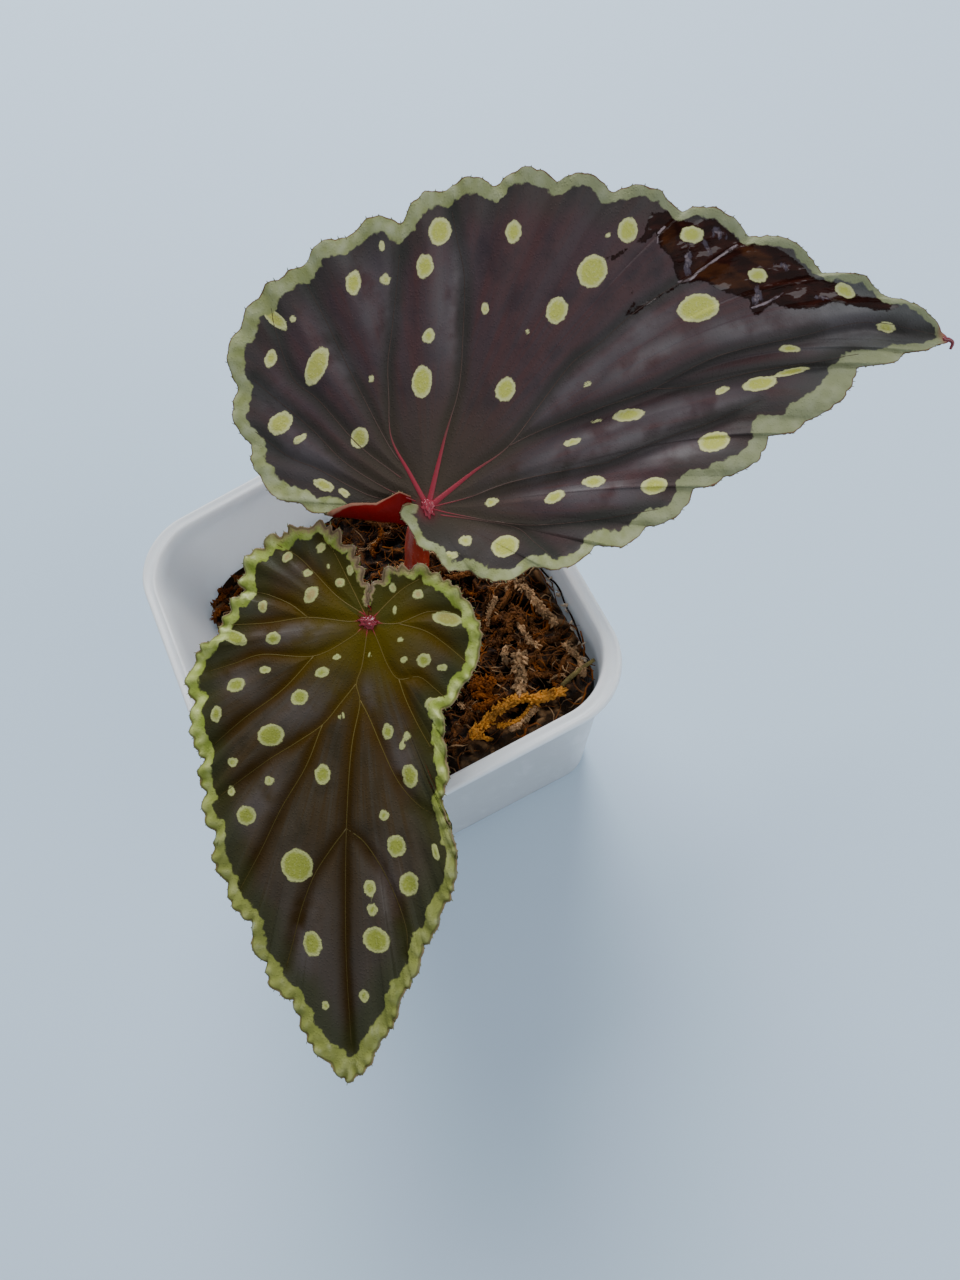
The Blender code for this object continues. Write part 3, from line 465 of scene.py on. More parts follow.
SMALL_LEAF = Leaf(
    junction=(1.7, -9.2, 94.0), slope=(0.05, 0.22), heading=-121.4, length=69.6, sweep=(-1.7, -0.3),
    fold=0.0, dome=0.0035, droop=(6.0, 75.0), scallop=(0.2, 0.9), ruffle=1.6, crimp=(0.26, 2.7, 0.22),
    pleat=(0.5, 0.9), bead=(1.2, 0.16), rope=0.4, teeth=0.8, spacing=0.36, rows=72,
    notches=[
        (-3.0, -0.3), (-6.9, -1.5), (-9.8, -2.6), (-12.1, -4.6), (-14.2, -6.6), (-14.6, -10.4),
        (-13.2, -14.8), (-11.2, -18.6), (-7.5, -21.2), (-4.1, -20.7), (-1.0, -23.2), (2.6, -24.3),
        (7.5, -28.3), (13.0, -27.3), (23.0, -24.0), (27.0, -23.5), (34.0, -21.0), (41.0, -19.5),
        (47.0, -14.5), (52.5, -13.0), (58.0, -8.5), (69.5, 0.0), (62.5, 5.5), (55.5, 8.5), (48.0, 12.0),
        (43.0, 14.5), (36.0, 17.0), (31.5, 15.5), (27.0, 14.0), (20.5, 15.0), (17.5, 13.5),
        (13.0, 13.0), (9.5, 15.5), (4.0, 17.5), (-2.0, 16.0), (-7.0, 11.0), (-8.5, 5.7),
        (-6.2, 0.9), (-3.0, 0.0)],
    bands=[0.6, 0.9, 1.1, 1.3, 1.6, 1.8, 2, 2.2, 2.2, 2, 1.9, 1.9, 2, 2.1, 2.1, 2, 2,
           2.1, 2.1, 2, 2.2, 2.7, 2.4, 2.1, 2.2, 1.9, 1.6, 1.5, 1.7, 1.9, 2, 2, 1.9, 1.9,
           1.9, 1.8, 1.3, 0.8, 0.6],
    veins={
        "midrib": [(0, 0), (6.5, 0), (9.5, -0.5), (12.5, 0.5), (19, 0), (29.5, 0), (39, 0),
                   (51.5, 0), (64, 0.5)],
        "back_left": [(-1, -0.5), (-4, -5.5), (-9.5, -11.5), (-11.5, -15), (-12.5, -17)],
        "back_first": [(-1, -0.5), (-6, -3.5), (-11, -6.5), (-13, -8.5)],
        "left_first": [(-0.5, -1), (0, -3), (-0.5, -10), (0.5, -16.5), (1, -23.5)],
        "left_first_fork": [(-0.5, -10), (-2.5, -13), (-4, -17), (-4.5, -20)],
        "left_second": [(1, -1), (2.5, -2.5), (5.5, -8), (5.5, -16.5), (7, -21), (8.5, -25.5)],
        "left_second_fork": [(5.5, -8), (9.5, -11), (12, -13.5), (15.5, -18), (20, -23)],
        "left_third": [(9.5, -0.5), (12.5, -2.5), (16, -5), (19, -9), (22, -13.5), (25.5, -18),
                       (28, -21)],
        "left_third_fork": [(16, -5), (22.5, -7), (29, -10.5), (35.5, -13.5), (42, -17)],
        "left_tip": [(31.5, 0), (35, -2.5), (39, -5), (44, -7), (49.5, -8.5), (53, -9.5)],
        "right_tip": [(31.5, 0), (33, 2.5), (36, 5), (41.5, 8), (46, 9.5), (49.5, 9.5)],
        "back_right": [(-0.5, 0.5), (-5, 4.5), (-7, 7.5)],
        "right_first": [(0, 0.5), (0, 4.5), (-2, 9), (-2, 13)],
        "right_first_fork": [(0, 4.5), (1, 9), (3, 12.5), (5.5, 16)],
        "right_second": [(0.5, 0.5), (3, 2), (6.5, 4), (8.5, 6), (8, 9), (9.5, 11.5), (11, 13.5)],
        "right_second_fork": [(8.5, 6), (11.5, 7.5), (15.5, 10), (19, 12.5)],
        "right_third": [(12, 0.5), (15, 2.5), (23, 7), (26.5, 10), (28.5, 13)]},
    spots=[
        (-10, -14, 1, 0.7, 150), (-11.5, -8.5, 0.9, 0.7, 160), (-7.5, -10.5, 0.7, 0.6, 90),
        (-8.5, -7, 0.4, 0.3, 5), (-6, -5, 0.8, 0.7, 90), (-8, -3.5, 0.8, 0.6, 5),
        (-4, -9.5, 1.4, 1, 150), (-2, -17.5, 1, 0.8, 175), (3, -15, 1.2, 1, 90),
        (10.5, -20, 1.6, 1.1, 100), (8, -15.5, 0.9, 0.6, 90), (12, -9, 1.5, 1.2, 90),
        (8, -6, 1.1, 0.8, 100), (5.5, -4, 0.6, 0.5, 90), (5, 1, 0.4, 0.4, 90),
        (14.5, -2, 0.6, 0.5, 95), (18, -13, 2.2, 1.7, 95), (22.5, -19, 0.9, 0.7, 95),
        (25, -12.5, 0.8, 0.7, 95), (23.5, -4, 1.5, 1.3, 5), (30.5, -16, 1.5, 1.5, 170),
        (-5.5, 3.5, 0.7, 0.5, 5), (-4.5, 7.5, 0.8, 0.8, 5), (-2, 4, 0.6, 0.3, 175),
        (2.5, 5.5, 0.4, 0.4, 10), (5.5, 6.5, 0.5, 0.5, 10), (5.5, 9.5, 1.1, 1, 95),
        (6.5, 12.5, 0.8, 0.5, 95), (16.5, 5.5, 1.2, 0.9, 5), (17, 8.5, 0.6, 0.6, 95),
        (18.5, 8, 0.6, 0.5, 5), (23, 9.5, 1.8, 1.2, 15), (29, 6, 0.8, 0.8, 5),
        (33.5, 8, 1.6, 1.5, 170), (39, 10, 1.8, 1.5, 170), (40, 4, 1.2, 1, 0),
        (43.2, 4.4, 0.9, 0.9, 95), (47.6, 5, 2.1, 1.9, 80), (37.5, -7.5, 2.5, 2.5, 5),
        (49, -5, 1.9, 1.6, 5), (56, 3, 0.9, 0.9, 95), (58, -3, 0.6, 0.6, 95),
        (-1, 12.2, 2.4, 1.1, 80), (15.2, -22.6, 1.3, 0.9, 0), (27, -19, 0.8, 0.6, 0),
        (34, 14, 1.2, 0.5, 20), (3, -21.6, 2.4, 1, 70), (12.4, 12.2, 1.6, 1.2, 60)],
    # Glossy patches: the coat and a painted sheen are laid on them
    gloss=[
        (-10.7, -14, 4.5, 2.2, 60), (2.1, -12, 7, 1.8, 95), (-3, -20.5, 4, 1.8, 80),
        (13.6, -8.8, 5, 2.6, 120), (9.7, -20, 4.5, 2.4, 60), (20.7, 8, 5, 2.2, 20),
        (48, -6, 6, 2.6, 165), (28, -14, 6, 2.6, 150), (12, 2, 3.5, 1.4, 20),
        (40, 7, 6, 2.4, 15)],
    frilly=(4.0, 9.0, 33.0, 37.5), cores=(8.0, 35.0))


@dataclass
class Margin:
    """The margin of a blade, one entry a column."""
    points: np.ndarray
    phase: np.ndarray
    run: np.ndarray
    band: np.ndarray
    lift: np.ndarray
    roll: np.ndarray
    rolled_to: np.ndarray
    fold: np.ndarray
    notch: np.ndarray
    frilly: np.ndarray
    bend: np.ndarray


def lobes(leaf, run):
    """The uneven small lobes along the margin: 1 on the round of one, -1 in the nick between two."""
    knots = np.arange(0.0, np.max(run) + 1.0, 0.5)
    wander = np.interp(run, knots, [lump(r * 0.22, 4.0, leaf.length) for r in knots])
    return 2 * np.abs(np.sin(math.pi * run / leaf.crimp[1] + 3.0 * wander)) ** 0.8 - 1


def bow_columns(leaf, notch, turn):
    """How far the columns of the back lobes bow sideways, to meet a margin that runs to the stalk."""
    bend = np.zeros(len(notch))
    for inner, outer in zip(leaf.cores, (notch[0], notch[-1])):
        share = (notch - inner) / (outer - inner)
        aim = np.interp(inner, notch, turn) + np.sign(outer - inner) * CORE_SPREAD * share
        bend = np.where(share > 0, np.tan(aim - turn) / 4, bend)
    return bend


def margin_of(leaf):
    """A bulging scallop between each two notches, and the lobe's end curled over the junction."""
    rolled = max(0, len(leaf.rolled_edge) - 1)
    corners = [(u, v, 0.0) for u, v in leaf.notches] + list(leaf.lobe_end)
    points, phase, notch = [], [], []
    for i, (a, b) in enumerate(zip(corners, corners[1:])):
        a, b = np.array(a[:2]), np.array(b[:2])
        chord = b - a
        length = float(np.linalg.norm(chord))
        out = np.array((-chord[1], chord[0])) / length
        out *= np.sign(out @ (a + b))
        pieces = max(5, round(length / leaf.spacing))
        t = np.arange(pieces) / pieces
        plain = i < rolled or i >= len(leaf.notches) - 1
        share, most = leaf.scallop
        bulge = 0.0 if plain else min(share * length, most)
        points.append(a + chord * t[:, None] + out * (bulge * np.sin(math.pi * t) ** 0.8)[:, None])
        phase.append(np.zeros(pieces) if plain else np.sin(math.pi * t) - 0.5)
        notch.append(i + t)
    points = np.concatenate(points + [np.array([corners[-1][:2]])])
    phase = soften(np.concatenate(phase + [np.zeros(1)]), 7)
    notch = np.concatenate(notch + [np.array([len(corners) - 1.0])])
    points = np.stack([soften(points[:, 0], 3), soften(points[:, 1], 3)], 1)
    run = run_along(points)
    turn = np.unwrap(np.arctan2(points[:, 1], points[:, 0]))
    way = np.sign(turn[-1] - turn[0])
    wander = np.array([lump(r * 0.9, leaf.length) for r in run])
    frilly = np.maximum(1 - smooth_step(notch, *leaf.frilly[:2]), smooth_step(notch, *leaf.frilly[2:]))
    far = (notch > rolled) * smooth_step(np.hypot(*points.T), *MARGIN_FROM_HUB)
    out = MARGIN_WANDER * wander * far
    out = out + leaf.crimp[2] * (1 + FRILLY_MORE * frilly) * lobes(leaf, run) * far
    heading = np.stack([soften(np.gradient(points[:, k]), 5) for k in range(2)], 1)
    heading /= np.hypot(*heading.T)[:, None]
    points = points + way * out[:, None] * np.stack([heading[:, 1], -heading[:, 0]], 1)

    # Each straight column turns on a little from the last, so that the blade never folds over itself
    turn = way * np.unwrap(np.arctan2(points[:, 1], points[:, 0]))
    bowed = np.zeros(len(notch), bool)
    if leaf.cores:
        bowed = (notch < leaf.cores[0]) | (notch > leaf.cores[1])
    least = LEAST_TURN * np.arange(len(turn))
    turn = np.where(bowed, turn, np.maximum.accumulate(np.where(bowed, -1e9, turn - least)) + least)
    bend = way * bow_columns(leaf, notch, turn) * smooth_step(np.hypot(*points.T), 3.0, 5.5)
    turn = way * turn
    points = np.hypot(*points.T)[:, None] * np.stack([np.cos(turn), np.sin(turn)], 1)
    count = np.arange(len(corners))
    band = np.interp(notch, count, leaf.bands)
    lift = np.interp(notch, count, [corner[2] for corner in corners])
    roll = np.zeros(len(points))
    rolled_to = np.zeros((len(points), 3))
    fold = np.full(len(points), RIM_ROW)
    if rolled:
        roll = 1.0 - smooth_step(notch, rolled - 0.15, rolled + 0.1)
        edge = np.array(leaf.rolled_edge)
        rolled_to = np.stack([np.interp(notch, np.arange(len(edge)), edge[:, k]) for k in range(3)], 1)
        fold = np.minimum(0.985, np.interp(notch, np.arange(len(edge)), edge[:, 3]))
    return Margin(points, phase, run, band, lift, roll, rolled_to, fold, notch, frilly, bend)


def from_margin(edge, flat, first):
    """How far in from the margin each point of the blade is, and how far along it its nearest place."""
    away = np.full(flat.shape[:2], 1e9)
    run = np.repeat(edge.run[:, None], flat.shape[1], 1)
    low = np.searchsorted(edge.notch, edge.notch - NEARBY)
    high = np.searchsorted(edge.notch, edge.notch + NEARBY)
    for k in range(first, len(edge.points) - 1):
        near = slice(low[k], high[k])
        step = edge.points[k + 1] - edge.points[k]
        gap = flat[near] - edge.points[k]
        t = np.clip(gap @ step / max(step @ step, 1e-12), 0.0, 1.0)
        gap = gap - t[..., None] * step
        here = np.hypot(gap[..., 0], gap[..., 1])
        nearer = here < away[near]
        away[near] = np.where(nearer, here, away[near])
        run[near] = np.where(nearer, edge.run[k] + t * (edge.run[k + 1] - edge.run[k]), run[near])
    return away, run


def shape_blade(leaf):
    """Places of the blade's points, a column from the stalk to each point of the margin, and marks."""
    edge = margin_of(leaf)
    reach = np.hypot(*edge.points.T)
    squeeze = np.minimum(1.0, reach / FULL_REACH)
    outer = np.array(OUTER_ROWS)[None] * squeeze[:, None]
    inward = np.linspace(0.0, 1.0, leaf.rows - len(OUTER_ROWS) + 1)[1:] ** ROWS_CLOSER
    inner = outer[:, -1:] + (reach - outer[:, -1])[:, None] * inward[None]
    share = 1.0 - np.concatenate([outer, inner], 1) / reach[:, None]
    share[:, -1] = 0.0
    aside = np.stack([-edge.points[:, 1], edge.points[:, 0]], 1)
    bowed = 4 * edge.bend[:, None] * share * (1 - share)
    flat = edge.points[:, None] * share[..., None] + aside[:, None] * bowed[..., None]

    # The rolled lobe: out to the fold, then up and back over itself
    k = edge.roll[:, None]
    fold = edge.fold[:, None]
    t = np.clip((share - fold) / (1 - fold), 0.0, 1.0)
    to_fold = np.minimum(fold, share)
    folded_at = edge.points * edge.fold[:, None]
    back = edge.rolled_to[:, None, :2] - folded_at[:, None]
    sag = np.stack([np.zeros_like(t), -ROLL_SAG * np.sin(math.pi * t)], 2)
    rolled = edge.points[:, None] * to_fold[..., None] + back * t[..., None] + sag
    flat = flat * (1 - k[..., None]) + rolled * k[..., None]
    lift = k * edge.rolled_to[:, None, 2] * np.sin(ROLL_ARCH * t) / math.sin(ROLL_ARCH)
    lift = lift + edge.lift[:, None] * share ** 1.5 - FOLD_DROP * k * np.exp(-edge.notch[:, None]) * share

    # Distance in from the margin, along the roll where there is one
    u, v = flat[..., 0], flat[..., 1]
    spots = flat.reshape(-1, 2)
    first = int(np.searchsorted(edge.notch, max(0.0, len(leaf.rolled_edge) - 1.4)))
    margin, run = from_margin(edge, flat, first)
    roll_length = ROLL_LENGTH * np.hypot(*back[:, 0].T)[:, None]
    along_roll = (1 - t) * roll_length + (fold - to_fold) * reach[:, None]
    margin = margin * (1 - k) + along_roll * k
    vein = np.full(share.shape, 1e9)
    for line in leaf.veins.values():
        vein = np.minimum(vein, distance_to_line(spots, line).reshape(share.shape))

    # The form: pleats along the veins, quilting between them, waves and crimps at the margin
    hub = np.hypot(u, v)
    depth, width = leaf.pleat
    settled = np.minimum(1.0, hub / SETTLED)
    h = leaf.relief(u, v) + lift - depth * np.exp(-(vein / width) ** 2) * settled
    h = h + QUILT * smooth_step(vein, 0.4, 5.0) * settled
    h = h + leaf.ruffle * edge.phase[:, None] * share ** 4 * (1 - k)
    wave = lobes(leaf, run)
    h = h + leaf.crimp[0] * wave * np.exp(-(margin / CRIMP_REACH) ** 2) * squeeze[:, None]
    rope = np.sqrt(np.clip(1 - (2 * margin / edge.band[:, None] - 1) ** 2, 0.0, 1.0))
    h = h + leaf.rope * rope * (0.7 + 0.3 * wave) * squeeze[:, None] * (1 - k)
    pitch, high = leaf.bead
    beads = np.array([lump(x / pitch, y / pitch, leaf.length) for x, y in spots])
    beads = beads.reshape(share.shape)
    h = h + high * beads * (1 - smooth_step(margin - edge.band[:, None], -0.6, 0.3)) * squeeze[:, None]
    # The rope's crests and the rounds of the small lobes are added to the lumps, so that the margin's paler
    # colour falls on them: partly a painted highlight
    beads = beads + 0.3 * wave * (leaf.rope > 0.2) + 0.25 * (rope - 0.5)
    for name, drop in leaf.creases.items():
        line = np.array(leaf.veins[name], float)
        below = np.interp(u, line[:, 0], line[:, 1]) - v
        begun = smooth_step(u, line[0, 0], line[0, 0] + CREASE_BEGINS)
        ended = smooth_step(u, line[-1, 0] - CREASE_ENDS, line[-1, 0])
        side = np.clip(below / CREASE_SIDE, 0.0, 8.0)
        h = h - drop * (begun * (1 - ended)) * side * np.exp(1 - side)
    places = leaf.place(u, v, h)
    return edge, places, {"margin": margin, "band": margin - edge.band[:, None], "vein": vein,
                          "hub": hub, "turn": np.broadcast_to(edge.run[:, None], share.shape),
                          "roll": np.broadcast_to(k, share.shape), "bead": beads,
                          "frilly": np.broadcast_to(edge.frilly[:, None], share.shape)}, flat


def deselect():
    """Leave nothing selected, so that an operator acts on its own piece alone."""
    bpy.ops.object.select_all(action="DESELECT")


def pick(piece):
    """Select the piece alone and make it the active one."""
    deselect()
    piece.select_set(True)
    bpy.context.view_layer.objects.active = piece


def edit(piece):
    """Enter edit mode on the piece alone, with all of it selected."""
    pick(piece)
    bpy.ops.object.mode_set(mode="EDIT")
    bpy.ops.mesh.select_all(action="SELECT")


def leave():
    """Back to object mode."""
    bpy.ops.object.mode_set(mode="OBJECT")


def seal(piece, merge=0.0):
    """Merge points that meet, turn every face outwards and shade the piece smooth."""
    edit(piece)
    if merge:
        bpy.ops.mesh.remove_doubles(threshold=merge)
    bpy.ops.mesh.normals_make_consistent(inside=False)
    leave()
    bpy.ops.object.shade_smooth()


def put_in_order(piece):
    """Sort the faces by distance from a place aside, as some operators make them in any order."""
    edit(piece)
    cursor = bpy.context.scene.cursor
    cursor.location = ASIDE
    bpy.ops.mesh.sort_elements(type="CURSOR_DISTANCE", elements={"VERT", "EDGE", "FACE"})
    cursor.location = (0.0, 0.0, 0.0)
    leave()


def apply_modifier(piece, name, kind, **settings):
    """Add a modifier with those settings and apply it."""
    step = piece.modifiers.new(name, kind)
    for key, value in settings.items():
        setattr(step, key, value)
    pick(piece)
    bpy.ops.object.modifier_apply(modifier=name)


def made(name):
    """The object that an operator has just made, with its name."""
    piece = bpy.context.object
    piece.name = piece.data.name = name
    return piece


def warped_grid(name, places):
    """A grid primitive with its points moved to places[column][row], and where each point went."""
    columns, rows = places.shape[:2]
    deselect()
    bpy.ops.mesh.primitive_grid_add(x_subdivisions=columns - 1, y_subdivisions=rows - 1, size=2.0)
    piece = made(name)
    mesh = piece.data
    start = np.empty(3 * len(mesh.vertices))
    mesh.vertices.foreach_get("co", start)
    start = start.reshape(-1, 3)
    column = np.rint((start[:, 0] + 1) / 2 * (columns - 1)).astype(int)
    row = np.rint((start[:, 1] + 1) / 2 * (rows - 1)).astype(int)
    mesh.vertices.foreach_set("co", places[column, row].ravel())
    mesh.update()
    return piece, (column, row)


def mark(piece, name, values, kind="FLOAT"):
    """Store a value, or a vector, for each point of the piece."""
    layer = piece.data.attributes.new(name, kind, "POINT")
    field_name = "value" if kind == "FLOAT" else "vector"
    layer.data.foreach_set(field_name, np.ascontiguousarray(values, float).ravel())


def tubes(name, paths, sides=6):
    """One mesh of closed tubes. Each path is its points, in metres, with a radius for each, in mm."""
    curve = bpy.data.curves.new(name, "CURVE")
    curve.dimensions = "3D"
    curve.bevel_depth = MM
    curve.bevel_resolution = (sides - 4) // 2
    curve.use_fill_caps = True
    for points, radii in paths:
        line = curve.splines.new("POLY")
        line.points.add(len(points) - 1)
        line.points.foreach_set("co", np.c_[np.array(points), np.ones(len(points))].ravel())
        line.points.foreach_set("radius", np.array(radii, float))
    piece = bpy.data.objects.new(name, curve)
    bpy.context.scene.collection.objects.link(piece)
    pick(piece)
    bpy.ops.object.convert(target="MESH")
    piece = made(name)
    seal(piece, MERGE)
    return piece


def join(name, pieces):
    """Join pieces into the first one."""
    deselect()
    for piece in pieces:
        piece.select_set(True)
    bpy.context.view_layer.objects.active = pieces[0]
    bpy.ops.object.join()
    pieces[0].name = pieces[0].data.name = name
    return pieces[0]


def give(piece, *finishes):
    """Put finishes in the piece's material slots."""
    piece.data.materials.clear()
    for finish in finishes:
        piece.data.materials.append(finish.material)


def settle(piece, node):
    """The piece rides on the body and stands for that node, whose own part is hidden."""
    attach(piece, BODY)
    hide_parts(node)


class Value:
    """A socket of a finish. Arithmetic on it adds Math nodes, so a pattern is written as a sum."""

    def __init__(self, finish, socket):
        self.finish = finish
        self.socket = socket

    def __add__(self, other):
        return self.finish.math("ADD", self, other)

    __radd__ = __add__

    def __sub__(self, other):
        return self.finish.math("SUBTRACT", self, other)

    def __rsub__(self, other):
        return self.finish.math("SUBTRACT", other, self)

    def __mul__(self, other):
        return self.finish.math("MULTIPLY", self, other)

    __rmul__ = __mul__


class Finish:
    """A material being made, with the few kinds of node that the patterns are written in."""

    def __init__(self, name, **constant):
        self.material = bpy.data.materials.new(name)
        self.material.use_nodes = True
        self.tree = self.material.node_tree
        self.shader = self.tree.nodes["Principled BSDF"]
        for key, value in constant.items():
            self.put(key.replace("_", " ").title().replace("Ior", "IOR"), value)

    def plug(self, value, socket):
        """Link a value to a socket, or set it there."""
        if isinstance(value, Value):
            self.tree.links.new(value.socket, socket)
        elif socket.type == "RGBA":
            socket.default_value = (*value[:3], 1.0)
        else:
            socket.default_value = value

    def put(self, socket, value):
        """Set or drive one of the shader's own sockets."""
        self.plug(value, self.shader.inputs[socket])

    def node(self, kind, sockets, output=0, **settings):
        """Any node: its settings first, then its sockets. Gives one of its outputs."""
        node = self.tree.nodes.new(kind)
        for key, value in settings.items():
            setattr(node, key, value)
        for key, value in sockets.items():
            self.plug(value, node.inputs[key])
        return Value(self, node.outputs[output])

    def math(self, operation, *values):
        """Arithmetic on numbers."""
        return self.node("ShaderNodeMath", dict(enumerate(values)), operation=operation)

    def vector_math(self, operation, *values):
        """Arithmetic on places."""
        return self.node("ShaderNodeVectorMath", dict(enumerate(values)), operation=operation)

    def fade(self, value, low, high):
        """0 at low, 1 at high, smooth between and held beyond."""
        return self.node("ShaderNodeMapRange", {"Value": value, "From Min": low, "From Max": high},
                         interpolation_type="SMOOTHSTEP")

    def blend(self, mask, low, high):
        """One colour where the mask is 0, the other where it is 1."""
        return self.node("ShaderNodeMix", {0: mask, 6: low, 7: high}, 2, data_type="RGBA")

    def read(self, name, output="Fac"):
        """A number, or a place, stored on the piece."""
        return self.node("ShaderNodeAttribute", {}, output, attribute_name=name)

    def object_mm(self):
        """The place on the object, in mm."""
        metres = self.node("ShaderNodeTexCoord", {}, "Object")
        return self.node("ShaderNodeVectorMath", {0: metres, "Scale": 1 / MM}, operation="SCALE")

    def axis(self, place, name):
        """One of the three numbers of a place."""
        return self.node("ShaderNodeSeparateXYZ", {"Vector": place}, name)

    def stretched(self, place, factors):
        """A place with each of its directions multiplied."""
        return self.vector_math("MULTIPLY", place, factors)

    def grain(self, place, size, detail=3.0, rough=0.55):
        """Cloudy noise with lumps of about that size in mm, around 0.5."""
        return self.node("ShaderNodeTexNoise", {"Vector": place, "Scale": 1.0 / size, "Detail": detail,
                                                "Roughness": rough})

    def swirled(self, place, size, reach):
        """A place pushed about by noise, so that a pattern on it wanders."""
        push = self.node("ShaderNodeTexNoise", {"Vector": place, "Scale": 1.0 / size, "Detail": 2.0},
                         "Color")
        return self.vector_math("MULTIPLY_ADD", push, (reach, reach, reach), place)

    def cells(self, place, size, feature="F1"):
        """Distance to the middle, or to the edge, of rounded cells of about that size in mm."""
        return self.node("ShaderNodeTexVoronoi", {"Vector": place, "Scale": 1.0 / size}, "Distance",
                         feature=feature)

    def net(self, place):
        """The fine net of small veins in a blade."""
        return self.fade(self.cells(self.swirled(place, 2.0, 1.6), 2.6, "DISTANCE_TO_EDGE"), 0.16, 0.0)

    def relief(self, height, distance, strength):
        """Bump the surface by a height, with 1 standing for a distance in mm."""
        self.put("Normal", self.node("ShaderNodeBump", {"Height": height, "Distance": distance * MM,
                                                        "Strength": strength}))


def along_and_across(points, spot):
    """Where each point is along and across a turned oval."""
    u, v, _, _, turn = spot
    c, s = math.cos(math.radians(turn)), math.sin(math.radians(turn))
    return ((points - (u, v)) @ np.array(((c, -s), (s, c)))).T


def distance_to_spots(points, spots):
    """Distance in mm out from the rim of the nearest spot, less than 0 inside it."""
    best = np.full(len(points), 1e9)
    for spot in spots:
        x, y = along_and_across(points, spot)
        long, short = spot[2:4]
        size = math.sqrt(long * short)
        best = np.minimum(best, np.hypot(x * size / long, y * size / short) - size)
    return best


def patches(points, spots):
    """1 in the middle of each soft patch, falling to 0 round it."""
    best = np.zeros(len(points))
    for spot in spots:
        x, y = along_and_across(points, spot)
        best = np.maximum(best, np.exp(-(x / spot[2]) ** 2 - (y / spot[3]) ** 2))
    return best


def times(tone, factor):
    """A colour made darker or lighter."""
    return tuple(min(1.0, factor * c) for c in tone)


def distance_to_pool(points, outline):
    """Distance in mm out from an outline, less than 0 inside it."""
    ring = outline + outline[:1]
    inside = np.zeros(len(points), bool)
    for (ax, ay), (bx, by) in zip(ring, ring[1:]):
        over = (ay > points[:, 1]) != (by > points[:, 1])
        x = ax + (points[:, 1] - ay) * (bx - ax) / (by - ay if by != ay else 1e-9)
        inside ^= over & (points[:, 0] < x)
    return distance_to_line(points, ring) * np.where(inside, -1, 1)


def blade_marks(finish):
    """Where a blade's spots, pale margin and dark edge lie, each from 0 to 1, and the margin's lumps."""
    place = finish.read("blade_mm", "Vector")
    fine = finish.grain(place, 0.9, 3.0) - 0.5
    wide = finish.grain(place, 2.6, 2.0) - 0.5
    from_spot = finish.read("spot") + 0.8 * fine
    spot = finish.fade(from_spot, 0.12, -0.12)
    core = finish.fade(from_spot, -0.1, -0.75)
    lumps = finish.read("bead") + 0.9 * fine
    band = finish.fade(finish.read("band") + 1.9 * wide + 0.8 * fine, 0.14, -0.14)
    edge = finish.fade(finish.read("margin") + 0.12 * lumps, 0.22, 0.08)
    return place, spot, core, band, edge, lumps


